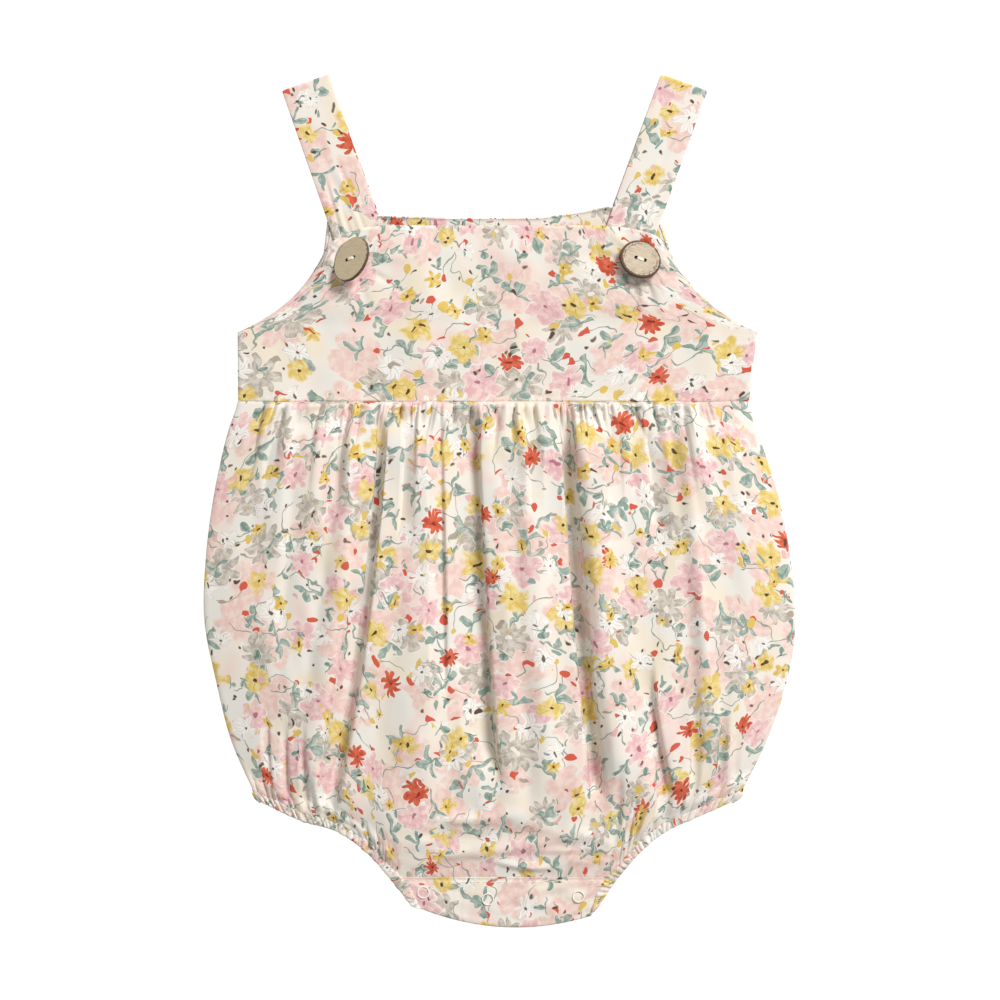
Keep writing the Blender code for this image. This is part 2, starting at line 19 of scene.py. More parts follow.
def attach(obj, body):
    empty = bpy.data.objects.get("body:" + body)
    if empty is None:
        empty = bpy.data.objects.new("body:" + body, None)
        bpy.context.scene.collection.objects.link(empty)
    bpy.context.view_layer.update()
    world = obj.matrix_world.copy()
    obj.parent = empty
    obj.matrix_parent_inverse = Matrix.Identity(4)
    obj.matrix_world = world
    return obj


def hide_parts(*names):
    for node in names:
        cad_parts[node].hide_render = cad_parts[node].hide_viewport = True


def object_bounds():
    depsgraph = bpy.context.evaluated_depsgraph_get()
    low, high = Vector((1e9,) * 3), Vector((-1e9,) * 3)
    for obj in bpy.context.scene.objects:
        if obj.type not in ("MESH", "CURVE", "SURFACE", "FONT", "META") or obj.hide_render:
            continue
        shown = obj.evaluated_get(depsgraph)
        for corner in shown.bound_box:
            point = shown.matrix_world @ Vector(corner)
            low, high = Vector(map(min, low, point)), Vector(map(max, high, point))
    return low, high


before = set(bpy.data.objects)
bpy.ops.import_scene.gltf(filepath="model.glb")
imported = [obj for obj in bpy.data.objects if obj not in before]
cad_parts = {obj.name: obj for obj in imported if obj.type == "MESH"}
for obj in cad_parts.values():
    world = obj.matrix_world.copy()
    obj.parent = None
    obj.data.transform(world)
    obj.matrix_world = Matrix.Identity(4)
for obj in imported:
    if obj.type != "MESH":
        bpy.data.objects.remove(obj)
cad_low, cad_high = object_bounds()
MM = 0.001
cad_box = [round(value / MM, 1) for value in (*cad_low, *cad_high)]
print("frame:", len(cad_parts), "nodes, box in mm", cad_box)

# %% [markdown]
# ## Camera, floor and light
#
# The garment lies flat, so the camera hangs straight above it. A long lens far away keeps the puffed
# middle from looking larger than the edges. A bright even sky fills every fold, and one large lamp
# from the upper right gives the folds their soft shaded side.

# %% Camera, floor and light
VIEW_WIDTH = 0.440
camera_data = bpy.data.cameras.new("camera_above")
camera_data.lens = 120.0
camera = bpy.data.objects.new("camera_above", camera_data)
camera_height = VIEW_WIDTH / camera_data.sensor_width * camera_data.lens
camera.location = (0.0, 0.2 * MM, camera_height)
bpy.context.scene.collection.objects.link(camera)
bpy.context.scene.camera = camera

floor_mesh = bmesh.new()
bmesh.ops.create_grid(floor_mesh, x_segments=1, y_segments=1, size=3.0)
floor_data = bpy.data.meshes.new("studio_floor")
floor_mesh.to_mesh(floor_data)
floor_mesh.free()
floor = bpy.data.objects.new("studio_floor", floor_data)
floor.location.z = -0.2 * MM
bpy.context.scene.collection.objects.link(floor)

world = bpy.data.worlds.new("bright_studio")
world.use_nodes = True
sky = world.node_tree.nodes["Background"].inputs
sky["Color"].default_value = (1.0, 0.96, 0.905, 1.0)
sky["Strength"].default_value = 0.47
bpy.context.scene.world = world

lamp_data = bpy.data.lights.new("window_light", "AREA")
lamp_data.shape = "DISK"
lamp_data.size = 1.1
lamp_data.energy = 104.0
lamp_data.color = (0.985, 0.99, 1.0)
lamp = bpy.data.objects.new("window_light", lamp_data)
lamp.location = (1.5, 1.75, 2.25)
lamp.rotation_mode = "QUATERNION"
lamp.rotation_quaternion = lamp.location.to_track_quat("Z", "Y")
bpy.context.scene.collection.objects.link(lamp)

bpy.context.scene.view_settings.view_transform = "Standard"
print("camera height in mm", round(camera_height / MM))

# %% [markdown]
# ## Lines and patches
#
# A sewn piece is easiest to describe by its four edges. Each edge is a line through a few measured
# points, in millimetres. A Coons patch then fills the four edges with rows and columns that run
# as the threads of the cloth do. Steps are crowded near an edge, where a turned edge is rounded.

# %% Lines and patches
def rounded(points, count=80):
    """A smooth line through the points, with evenly spaced steps."""
    points = np.array(points, float)
    before = np.vstack([points[:1], points[:-1]])
    after = np.vstack([points[1:], points[-1:]])
    slope = (after - before) / 2
    share = np.linspace(0, 1, 12, endpoint=False)[:, None]
    cubic = (
        2 * share**3 - 3 * share**2 + 1, share**3 - 2 * share**2 + share,
        3 * share**2 - 2 * share**3, share**3 - share**2,
    )
    parts = [
        cubic[0] * points[k] + cubic[1] * slope[k] + cubic[2] * points[k + 1] + cubic[3] * slope[k + 1]
        for k in range(len(points) - 1)
    ]
    return along(np.vstack([*parts, points[-1:]]), np.linspace(0, 1, count + 1))


def along(line, shares):
    """Points at the given shares of a line's length."""
    steps = np.linalg.norm(np.diff(line, axis=0), axis=1)
    length = np.concatenate([[0.0], np.cumsum(steps)])
    return np.stack([np.interp(shares * length[-1], length, axis) for axis in line.T], axis=-1)


def raised(line, low, high=None):
    """A flat line given its height off the table, from low to high along it."""
    high = low if high is None else high
    return np.column_stack([line[:, :2], np.linspace(low, high, len(line))])


def crowded(start, end, count, tightness=0.5):
    """Shares from start to end whose steps are shorter near both ends."""
    share = np.linspace(0, 1, count + 1)
    return start + (end - start) * (share - tightness * np.sin(math.tau * share) / math.tau)


def joined(*pieces):
    """One edge line from lines that each take a share of it, as (line, share) pairs."""
    edges = np.cumsum([0.0] + [share for _, share in pieces])

    def edge(shares):
        found = np.zeros((len(shares), 3))
        for (line, _), low, high in zip(pieces, edges, edges[1:]):
            inside = (shares >= low - 1e-9) & (shares <= high + 1e-9)
            found[inside] = along(line, np.clip((shares[inside] - low) / (high - low), 0, 1))
        return found

    return edge


def patch(bottom, top, left, right, across, up):
    """Rows of points that fill four edges. bottom and top run across, left and right run up."""
    low, high = bottom(across)[None], top(across)[None]
    first, last = left(up)[:, None], right(up)[:, None]
    u, v = across[None, :, None], up[:, None, None]
    low_corners = (1 - u) * low[:, :1] + u * low[:, -1:]
    high_corners = (1 - u) * high[:, :1] + u * high[:, -1:]
    corners = (1 - v) * low_corners + v * high_corners
    return (1 - u) * first + u * last + (1 - v) * low + v * high - corners


edge_step = float(np.diff(crowded(0, 1, 100))[0] * 100)
print("steps crowd to", round(edge_step, 2), "of an even step at an edge")

# %% [markdown]
# ## From points to cloth
#
# A grid made by Blender is bent onto the rows of points. Its UV map holds real distances over the
# surface, in metres, so a print or a weave keeps its size and gets hidden in the gathers, as it does
# when real cloth is gathered. Averages over neighbours keep it from shearing between gathers. A
# casing or a strap is a flattened tube, so its long sides are merged and its ends closed. Every
# piece gets its wall from a Solidify modifier, on the inner side.

# %% From points to cloth
def averaged(values, window=15):
    """The mean of each value and its neighbours in the same row."""
    padded = np.pad(values, ((0, 0), (window, window)), mode="edge")
    total = np.cumsum(np.pad(padded, ((0, 0), (1, 0))), axis=1)
    width = 2 * window + 1
    return (total[:, width:] - total[:, :-width]) / width


def lay_cloth(name, places, print_shift, wall, tube=False, face_down=False, fullness=1.0):
    """A piece of cloth from rows of points in millimetres. A tube's rows go right round it.

    fullness over 1 squeezes the print lengthways, as elastic does where it bunches the cloth.
    """
    rows, columns = places.shape[0] - 1, places.shape[1] - 1
    across = np.cumsum(np.linalg.norm(np.diff(places, axis=1), axis=2), axis=1)
    across = np.concatenate([np.zeros((rows + 1, 1)), across], axis=1)
    across -= across[:, columns // 2][:, None]
    across -= averaged(across - across.mean(axis=0))
    up = np.cumsum(np.linalg.norm(np.diff(places, axis=0), axis=2), axis=0)
    up = np.concatenate([np.zeros((1, columns + 1)), up], axis=0)
    up -= up[-1:]
    up = np.broadcast_to(up.mean(axis=1, keepdims=True), up.shape) if tube else averaged(up)
    flat = (np.stack([across, up * fullness], axis=-1) + np.array(print_shift)) * MM

    mesh = bmesh.new()
    bmesh.ops.create_grid(mesh, x_segments=columns, y_segments=rows, size=0.5)
    spots = {}
    for vert in mesh.verts:
        spots[vert] = (round((vert.co.y + 0.5) * rows), round((vert.co.x + 0.5) * columns))
    layer = mesh.loops.layers.uv.new("cloth")
    for face in mesh.faces:
        for corner in face.loops:
            corner[layer].uv = flat[spots[corner.vert]]
    for vert, spot in spots.items():
        vert.co = places[spot] * MM
    if tube:
        bmesh.ops.remove_doubles(mesh, verts=mesh.verts[:], dist=0.02 * MM)
        ends = [edge for edge in mesh.edges if edge.is_boundary]
        bmesh.ops.holes_fill(mesh, edges=ends, sides=0)
        bmesh.ops.recalc_face_normals(mesh, faces=mesh.faces[:])
    else:
        for edge in mesh.edges:
            edge.smooth = not edge.is_boundary
        if face_down:
            bmesh.ops.reverse_faces(mesh, faces=mesh.faces[:])
    area = sum(face.calc_area() for face in mesh.faces)
    piece = finish_mesh(name, mesh)
    solid = piece.modifiers.new("wall", "SOLIDIFY")
    solid.thickness = wall * MM
    solid.offset = -1.0
    width, length = float(np.ptp(across[rows // 2])), float(np.ptp(up[:, columns // 2]))
    print(name, "is", round(width), "by", round(length), "mm flat, of", round(area / MM / MM / 100),
          "square cm,", len(piece.data.polygons), "faces")
    return piece


def finish_mesh(name, mesh):
    """An object with smooth faces, at the origin, from a mesh that is done."""
    for face in mesh.faces:
        face.smooth = True
    data = bpy.data.meshes.new(name)
    mesh.to_mesh(data)
    mesh.free()
    piece = bpy.data.objects.new(name, data)
    bpy.context.scene.collection.objects.link(piece)
    return piece


# %% [markdown]
# ## Folds, pleats and rumples
#
# Gathered cloth stands in ridges and troughs that start at a seam and die away. Each main fold here
# has its own line, length, depth and two half widths, because a real fold is steeper on one side.
# Where its lip leans over the trough, it also slides sideways. Small pleats come from a seeded list,
# so that none is like the next and every run is the same.

# %% Folds, pleats and rumples
Fold = namedtuple("Fold", "waist middle hem start end left right lift slide", defaults=(0.0,))
Tube = namedtuple("Tube", "start width length height lean")     # one small gather along a seam


def ease(value):
    """0 below 0 and 1 above 1, with a soft start and end."""
    value = np.clip(value, 0.0, 1.0)
    return value * value * (3 - 2 * value)


def fold_shape(folds, x, y, waist=42.9, corner=-126.5, fade=26.0):
    """The lift of all folds at each point, and how far their lips slide sideways over the trough.

    A fold with a lip has steep walls, and the others are soft waves.
    """
    lift, slide = np.zeros_like(x), np.zeros_like(x)
    t = (y - (waist + corner) / 2) / ((waist - corner) / 2)
    for fold in folds:
        bend = (fold.waist + fold.hem) / 2 - fold.middle
        centre = fold.middle + (fold.waist - fold.hem) / 2 * t + bend * t * t
        shown = ease(np.minimum(y - fold.end, fold.start - y) / fade)
        away = (x - centre) / np.where(x < centre, fold.left, fold.right)
        shape = np.cos(math.pi / 2 * np.clip(away, -1, 1)) ** (1.1 if fold.slide else 2)
        lift += fold.lift * shown * shape
        if fold.slide:
            steep = fold.left if fold.slide > 0 else fold.right
            from_lip = (x - centre + math.copysign(steep, fold.slide)) / (1.3 * steep)
            slide += fold.slide * shown * (1 + np.cos(math.pi * np.clip(from_lip, -1, 1))) / 2
    return lift, slide


def tube_row(seed, start, end, width, length, height):
    """Uneven little tubes side by side along a gathered seam, in millimetres."""
    chance = random.Random(seed)
    row = []
    while start < end:
        size = chance.choice((0.5, 0.7, 0.9, 1.0, 1.3, 1.7))
        row.append(Tube(
            start, width * size, length * chance.choice((0.3, 0.5, 0.8, 1.1, 1.6)),
            height * (0.5 + 0.5 * size) * chance.uniform(0.55, 1.15), chance.uniform(-0.15, 0.15),
        ))
        start += width * size
    return row


def gathered(row, place, away, pinch=0.8, rise=2.2):
    """Cloth that stands up from its seam in tubes, with sharp valleys between them.

    The tubes reach their height within the rise, and begin it pinch millimetres before the seam.
    """
    total = np.zeros_like(place)
    for tube in row:
        t = 2 * (place - tube.start - tube.lean * away) / tube.width - 1
        crown = tube.height * np.sqrt(np.clip(1 - t * t, 0, 1))
        total = np.maximum(total, crown * ease(1 - away / tube.length))
    return total * ease((away + pinch) / rise)


def rumple(seed, x, y, length, lift, stretch=1.0):
    """Faint uneven waves. A stretch over 1 draws them out along the garment."""
    chance = random.Random(seed)
    total = np.zeros_like(x)
    for _ in range(16):
        turn, size = chance.uniform(0, math.pi), length * chance.uniform(0.6, 2.2)
        across, up = math.cos(turn) / size, math.sin(turn) / size / stretch
        total += np.sin(math.tau * (x * across + y * up) + chance.uniform(0, math.tau))
    return total * lift / 4


def rolled(distance, depth, radius):
    """How far a turned edge drops at a distance from the edge."""
    near = np.clip(distance / radius, 0, 1)
    return depth * (1 - np.sqrt(1 - (1 - near) ** 2))


print("ease at a quarter is", float(ease(np.array(0.25))))

# %% [markdown]
# ## The measured lines of the garment
#
# These are the plain model's own lines, in millimetres: side seams, leg openings, crotch hem and the
# layers' heights. The front lies on the back, and the crotch is thick where snaps close it.

# %% The measured lines of the garment
WALL, GAP = 1.2, 0.3
BACK, FRONT, OVER_STRAP = 0.0, 1.5, 3.0
BACK_PLACKET, FRONT_PLACKET, FRONT_LEG = 0.8, 4.2, 2.1
WAIST, PUFF, PUFF_SOFTNESS = 42.9, 6.4, 1.2
CASING_WIDTH, CASING_THICK, CASING_TURN = 4.4, 1.6, 1.8
PLACKET_TOP, PLACKET_CORNERS = -165.0, {"left": -43.7, "right": 46.7}
SIGN = {"left": -1, "right": 1}

SIDES = {
    "left": ((115.1, 42.9), (120.6, 26.6), (126.2, 0), (129.4, -26.2), (130, -52.6), (124.9, -79),
             (118.2, -105.4), (108.8, -126.5)),
    "right": ((109.4, 42.9), (114.6, 26.6), (122.8, 0), (127.8, -26.2), (130, -52.6), (126.2, -79),
              (117.3, -105.4), (106.8, -126.5)),
}
LEGS = {
    "left": ((106.3, -131.8), (88, -140.4), (72, -145.2), (59.4, -153.8), (47.8, -166.5), (38.7, -178)),
    "right": ((103, -131.8), (83.5, -140.4), (73, -145.2), (62.2, -153.8), (51.2, -166.5), (43.4, -178)),
}


def hem_height(x):
    """The crotch hem is a shallow arc."""
    return -187.3 + (x - 7.0) ** 2 / 212.0


def leg_edge(side):
    """The outer edge of a leg opening, from the side seam to the crotch hem."""
    points = np.array(LEGS[side], float) * (SIGN[side], 1)
    return rounded(points, 13)


def leg_line(side, distance):
    """The leg edge moved inwards, ending on the side seam and on the hem."""
    line = leg_edge(side)
    way = np.vstack([line[1:], line[-1:]]) - np.vstack([line[:1], line[:-1]])
    way /= np.linalg.norm(way, axis=1)[:, None]
    line = line + np.column_stack([-way[:, 1], way[:, 0]]) * distance * -SIGN[side]
    corner = SIDES[side][-1]
    line[0] = (SIGN[side] * corner[0], corner[1] - (CASING_WIDTH + GAP - distance))
    line[-1, 0] -= SIGN[side] * GAP
    line[-1, 1] = hem_height(line[-1, 0])
    return line


def length_of(line):
    return float(np.linalg.norm(np.diff(line, axis=0), axis=1).sum())


LEG_LENGTH = {side: length_of(leg_edge(side)) for side in SIGN}
GATHERED = {side: length_of(leg_edge(side)[leg_edge(side)[:, 1] > PLACKET_TOP]) for side in SIGN}
print("leg openings are", [round(length) for length in LEG_LENGTH.values()], "mm long in front")

# %% [markdown]
# ## The two bubble panels
#
# Each panel is one wide piece, gathered at the waist and at both legs. The front one is puffed and
# holds the main folds. The deepest are a long one right of the middle, a soft one left of it, and a
# sharp one that runs down to the left leg. The back panel has the same outline, lies on the table
# and keeps shallow grooves, because nothing may sink below the floor.

# %% The two bubble panels
FRONT_FOLDS = (
    # Long troughs. The two deepest have a second one inside them, lower down.
    Fold(27.0, 31.0, 40.0, 50, -134, 3.6, 6.0, -9.5, 3.0),
    Fold(28.0, 32.0, 41.5, 10, -136, 3.0, 6.0, -5.0, 0.5),
    Fold(-11.0, -7.0, -1.0, 50, -128, 14.0, 3.4, -7.2, -1.8),
    Fold(-53.0, -60.0, -75.0, 50, -136, 2.6, 4.4, -8.5, 2.2),
    Fold(-54.0, -62.0, -76.0, -30, -150, 6.0, 7.0, -6.0, 1.0),
    Fold(60.0, 61.6, 73.5, -66, -136, 9.0, 3.6, -5.2, -1.8),
    # Troughs that start at the waist seam or just below it.
    Fold(88.0, 107.8, 120.0, 34, -14, 8.0, 6.0, -1.8),
    Fold(45.3, 49.3, 52.0, 50, -14, 2.4, 7.0, -2.8, 1.2),
    Fold(64.0, 69.0, 74.0, 50, -26, 2.2, 8.0, -2.6, 1.0),
    Fold(-41.0, -44.0, -46.0, 50, -20, 2.4, 6.0, -2.6, 1.0),
    Fold(-26.4, -25.0, -24.0, 50, -96, 6.0, 3.0, -3.2, -1.0),
    Fold(12.3, 14.5, 16.0, 50, -18, 2.4, 6.0, -2.6, 1.0),
    Fold(-68.2, -77.0, -82.0, 50, -10, 2.6, 7.0, -2.4, 1.2),
    # Small troughs above the left and the right leg.
    Fold(-103.0, -103.5, -100.5, -86, -156, 3.4, 1.6, -3.0, -1.0),
    Fold(-93.5, -95.0, -92.5, -92, -158, 3.2, 1.5, -3.2, -1.2),
    Fold(-85.0, -86.5, -84.8, -94, -160, 3.0, 1.5, -3.0, -1.0),
    Fold(90.0, 88.0, 83.0, -88, -146, 2.2, 4.5, -3.4, 1.0),
    Fold(98.0, 98.5, 95.0, -80, -142, 2.0, 4.0, -3.4, 1.0),
    Fold(104.0, 106.0, 102.0, -96, -138, 1.8, 3.4, -2.6),
    Fold(74.0, 72.0, 69.5, -98, -156, 3.0, 6.5, -4.2, 1.0),
    Fold(58.0, 56.0, 52.0, -112, -162, 3.0, 3.0, -1.8),
    # Broad ridges between the troughs, and two shallow hollows on them.
    Fold(36.0, 43.0, 52.0, 44, -136, 8.5, 18.0, 4.8),
    Fold(11.0, 16.0, 20.0, 40, -136, 13.0, 11.0, 3.7),
    Fold(-33.0, -31.0, -35.0, 40, -132, 18.0, 14.0, 3.4),
    Fold(-62.5, -70.5, -87.0, 40, -140, 9.0, 8.0, 3.4),
    Fold(-92.0, -99.0, -103.0, 44, -90, 11.0, 6.0, 2.0),
    Fold(80.0, 88.0, 93.0, 44, -120, 7.0, 12.0, 2.6),
    Fold(-2.0, 2.0, 6.0, 20, -156, 9.0, 8.0, 2.3),
    Fold(-20.0, -18.0, -24.0, 20, -90, 3.0, 8.0, -0.9),
    Fold(84.0, 91.0, 98.0, 10, -96, 3.0, 9.0, -1.0),
)
BACK_FOLDS = (
    Fold(-84.0, -92.0, -84.0, 40, -128, 9.0, 9.0, 1.6),
    Fold(-57.0, -61.0, -58.0, 40, -100, 8.0, 8.0, 1.2),
    Fold(-24.0, -27.0, -22.0, 40, -132, 9.0, 9.0, 2.0),
    Fold(6.0, 5.0, 8.0, 40, -92, 8.0, 8.0, 1.4),
    Fold(33.0, 38.0, 31.0, 40, -126, 9.0, 9.0, 1.9),
    Fold(62.0, 70.0, 66.0, 40, -104, 8.0, 8.0, 1.3),
    Fold(86.0, 95.0, 84.0, 40, -130, 9.0, 9.0, 1.5),
)
Gather = namedtuple("Gather", "seed width length height")
WAIST_GATHERS = (Gather(11, 4.4, 34.0, 3.3), Gather(15, 2.3, 13.0, 2.1))
BUBBLE_WIDTH, BUBBLE_HEIGHT, WAIST_WIDTH = 250.0, 200.0, 224.5
LEG_SHARE = 17 / 52     # share of a panel's lower edge that each leg opening takes
RIB_SLANT = 2.5     # ribs hang straight down, so they slant across the leg casing
LEG_RIBS = {
    (side, front): tube_row(30 + len(side) + 3 * front, 0.5, LEG_LENGTH[side] + 3, 2.3, 9.0, 1.25)
    for side in SIGN for front in (True, False)
}
TUCK = 0.9      # how far a panel reaches in under the strip that finishes its edge
SHELL = 0.5     # one layer of poplin, drawn a little thicker than the real 0.3 mm so that its edge shows


def bubble_edges(front):
    """A panel's lower edge, waist and two side seams, as edge lines."""
    heights = (FRONT, FRONT_LEG, FRONT_PLACKET) if front else (BACK, BACK, BACK_PLACKET)
    side_low, leg_low, crotch_low = heights
    legs, seams = {}, {}
    for side in SIGN:
        line = leg_line(side, CASING_WIDTH - TUCK)
        line = line[line[:, 1] > PLACKET_TOP]
        end = (PLACKET_CORNERS[side], PLACKET_TOP)
        legs[side] = raised(rounded(np.vstack([line, [end]]), 60), leg_low, crotch_low)
        seam = rounded(np.array(SIDES[side][::-1], float) * (SIGN[side], 1), 80)
        seam = np.vstack([legs[side][:1, :2], seam])
        rise = (leg_low - side_low) * (1 - np.linspace(0, 1, len(seam))) ** 4
        seams[side] = np.column_stack([seam, side_low + rise])
    crotch = np.array([legs["left"][-1], legs["right"][-1]])
    waist = np.array([seams["left"][-1], seams["right"][-1]])
    bottom = joined(
        (legs["left"], LEG_SHARE), (crotch, 1 - 2 * LEG_SHARE), (legs["right"][::-1], LEG_SHARE)
    )
    return [bottom] + [joined((line, 1.0)) for line in (waist, seams["left"], seams["right"])]


def bubble_gathers(front, u, from_side, from_waist, from_leg):
    """Tubes under the waist seam, then pleats and ribs above each leg."""
    fine = 1.0 if front else 0.6
    lift = np.zeros_like(from_side)
    for seed, width, length, height in WAIST_GATHERS:
        tubes = tube_row(seed + (not front), -100, 96, width, length, height * fine)
        raised_up = gathered(tubes, (u - 0.5) * WAIST_WIDTH, from_waist, -0.65, 0.9)
        lift += raised_up * ease(from_side / 14)
    for side, share in (("left", u), ("right", 1 - u)):
        place = share / LEG_SHARE * GATHERED[side]
        row = tube_row(len(side) + 20 + front, 1, 96, 5.0, 28.0, 3.1 * fine)
        pleats = gathered(row, place, from_leg) * ease(from_leg / 8)
        ribs = gathered(LEG_RIBS[side, front], place + RIB_SLANT, from_leg, 2.2)
        lift += (pleats + ribs) * ease((GATHERED[side] - place) / 8)
    return lift


def bubble_places(front, columns, rows):
    """Rows of points on the outer face of a bubble panel."""
    leg_columns = round(columns * LEG_SHARE)
    across = np.concatenate([
        crowded(0, LEG_SHARE, leg_columns),
        crowded(LEG_SHARE, 1 - LEG_SHARE, columns - 2 * leg_columns)[1:],
        crowded(1 - LEG_SHARE, 1, leg_columns)[1:],
    ])
    up = crowded(0, 1, rows, 0.6)
    places = patch(*bubble_edges(front), across, up)
    u, v = np.broadcast_arrays(across[None, :], up[:, None])
    x, y = places[..., 0], places[..., 1]
    from_side = np.minimum(u, 1 - u) * BUBBLE_WIDTH
    from_waist, from_leg = WAIST - y, v * BUBBLE_HEIGHT
    # The lower edge is gathered over the legs and lies flat over the crotch between them.
    on_legs = ease((np.abs(u - 0.5) - 0.5 + LEG_SHARE) / 0.02)
    flat_crotch = ease((0.58 - LEG_SHARE - np.abs(u - 0.5)) / 0.12)
    # The panel puffs up within these shares of its width and height, and more slowly at the left
    # side seam and over the crotch.
    swell_across = np.minimum(u / 0.22, (1 - u) / 0.12)
    swell_up = np.minimum(v / (0.12 + 0.10 * flat_crotch), (1 - v) / 0.12)
    swell = np.sin(np.clip(swell_across, 0, 1) * math.pi / 2)
    swell = swell * np.sin(np.clip(swell_up, 0, 1) * math.pi / 2)
    if front:
        stood, slide = fold_shape(FRONT_FOLDS, x, y)
        stood += PUFF
        lift = (stood + np.hypot(stood, PUFF_SOFTNESS)) / 2 * swell
        lift += rumple(3, x, y, 20.0, 0.85, 3.6) * swell + rumple(4, x, y, 9.0, 0.12, 2.4) * swell
    else:
        lift, slide = fold_shape(BACK_FOLDS, x, y)
        lift *= swell
    lift += bubble_gathers(front, u, from_side, from_waist, from_leg)
    lift += crotch_creases(x, y, front) * flat_crotch * ease(from_leg / 4)
    into_casing = 0.4 * ease(1 - from_leg / 0.7) - 0.1 * ease(1 - from_leg / 5)
    edge = rolled(from_side, WALL - 0.1, 2.6) + rolled(from_waist, 1.3, 0.9) + into_casing * on_legs
    places[..., 0] += slide * swell
    places[..., 1] += (GAP + TUCK) * ease(1 - from_waist / 3)
    if front:
        places[..., 2] += WALL + lift - edge
    else:
        places[..., 2] += np.maximum(lift + edge, 0.0)
    return places


def crotch_creases(x, y, front):
    """Creases that run across the crotch above the snaps, and slanting ones from the leg corners."""
    chance = random.Random(5 if front else 6)
    total = np.zeros_like(x)
    for number in range(34):
        height, middle = chance.uniform(-163, -134), chance.uniform(-42, 44)
        half = chance.uniform(8, 28)
        slant = chance.uniform(-0.12, 0.12) - 0.010 * middle * (number % 3 > 0)
        bend, width = chance.uniform(-2.5, 2.5), chance.uniform(0.7, 2.4)
        level = height + slant * (x - middle) + bend * ((x - middle) / half) ** 2
        reach = np.clip(1 - ((x - middle) / half) ** 2, 0, 1)
        away = (y - level) / np.where(y > level, width * 1.8, width)
        depth = chance.choice((-0.7, 0.6, 0.9, 1.2)) * chance.uniform(0.5, 1.0)
        total += depth * np.exp(-away * away) * reach
    return total * (1.0 if front else 0.5)


front_bubble = lay_cloth("front_bubble_cloth", bubble_places(True, 440, 104), (0, 0), SHELL)
back_places = bubble_places(False, 160, 80)
back_bubble = lay_cloth("back_bubble_cloth", back_places, (900, 210), SHELL, face_down=True)

# %% [markdown]
# ## The yokes
#
# The yokes carry the straps. They are faced, which means two layers sewn right sides together and
# turned, so their free edges are rounded and show no stitches. The front one lies over the two
# strap ends. The back one is a little taller and shows above the front's edge.

# %% The yokes
# A strap's place is the middle of its fold at the shoulder, and it leans outwards. A button is an
# oval whose width is a share, narrow, of its length. Its lowest edge lies on the bearing low_edge,
# its face tips by tip, and its holes are turned by holes. Lean and these angles are in degrees.
Strap = namedtuple("Strap", "side x y lean")
STRAPS = (Strap("left", -85.6, 183.8, -19.3), Strap("right", 81.0, 183.8, 19.8))
STRAP_WIDTH, STRAP_DROP, STRAP_END, STRAP_SPLAY = 21.8, 1.35, 97.0, 0.4
Button = namedtuple("Button", "side x y radius narrow low_edge tip holes")
BUTTONS = (
    Button("left", -64.2, 105.1, 10.3, 0.84, 155.0, 40.0, 11.0),
    Button("right", 61.3, 105.3, 9.2, 0.90, 62.0, 14.0, -17.0),
)
BUTTON_BASE, BUTTON_FACE, HOLE_OFFSET = OVER_STRAP + WALL + GAP, 2.0, 2.0
UNDERARMS = {"left": (-115.3, 74.0), "right": (113.0, 74.0)}
FRONT_NECK = (
    (-76.6, 108.8), (-73.2, 113.9), (-66.4, 117.4), (-54.6, 120.5), (-30, 120.8),
    (30, 120.8), (50, 120.3), (63, 118.2), (70.4, 114.8), (73.8, 109.8),
)
BACK_NECK = (
    (-76, 122.6), (-53, 125.2), (-20, 124.2), (18, 124.4), (36, 127), (48, 129.4), (71, 121.6),
)
YOKE_FOLDS = (
    Fold(-34.0, -37.0, -41.0, 150, 44, 12.0, 16.0, 0.55),
    Fold(6.0, 3.0, 1.0, 150, 10, 20.0, 14.0, 0.45),
    Fold(52.0, 55.0, 60.0, 130, 10, 10.0, 18.0, 0.5),
    Fold(-78.0, -84.0, -92.0, 120, 20, 12.0, 9.0, 0.5),
    Fold(82.0, 88.0, 95.0, 120, 20, 14.0, 9.0, 0.45),
)


def strap_way(strap, splay=0.0):
    """The direction down a strap from its fold."""
    lean = math.radians(strap.lean + math.copysign(splay, strap.lean))
    return np.array([-math.sin(lean), -math.cos(lean)])


def over_strap(x, y):
    """1 where the front yoke lies on a strap end, 0 well away from it."""
    nearest = np.ones_like(x)
    for strap in STRAPS:
        way = strap_way(strap)
        off_x, off_y = x - strap.x, y - strap.y
        aside = np.abs(off_x * way[1] - off_y * way[0]) - STRAP_WIDTH / 2
        away = (np.maximum(np.maximum(aside, STRAP_END - y), 0) - 9.0) / 12.0
        nearest = np.minimum(nearest, np.clip(away, 0, 1))
    return (1 + np.cos(math.pi * nearest)) / 2


def button_pull(button, x, y):
    """Creases round a button, and the lip of the buttonhole over the low edge of a tipped one."""
    off_x, off_y = x - button.x, y - button.y
    away, bearing = np.hypot(off_x, off_y), np.arctan2(off_y, off_x)
    chance = random.Random(button.side)
    total = -0.3 * np.exp(-away * away / 60)
    for _ in range(12):
        way, width = chance.uniform(-math.pi, math.pi), chance.uniform(0.05, 0.17)
        turn = (bearing - way + math.pi) % math.tau - math.pi
        shown = ease((away - 7) / 3) * ease((chance.uniform(19, 30) - away) / 11)
        crease = np.exp(-((turn / width) ** 2)) * shown
        total += chance.choice((-0.8, -0.5, 0.5, 0.7)) * crease
    if button.tip > 20:
        turn = (bearing - math.radians(button.low_edge) + math.pi) % math.tau - math.pi
        near = ease((1.15 - np.abs(turn)) / 0.5)
        total += 1.6 * near * ease((away - 7.6) / 1.2) * ease((14.5 - away) / 5.5)
    return total


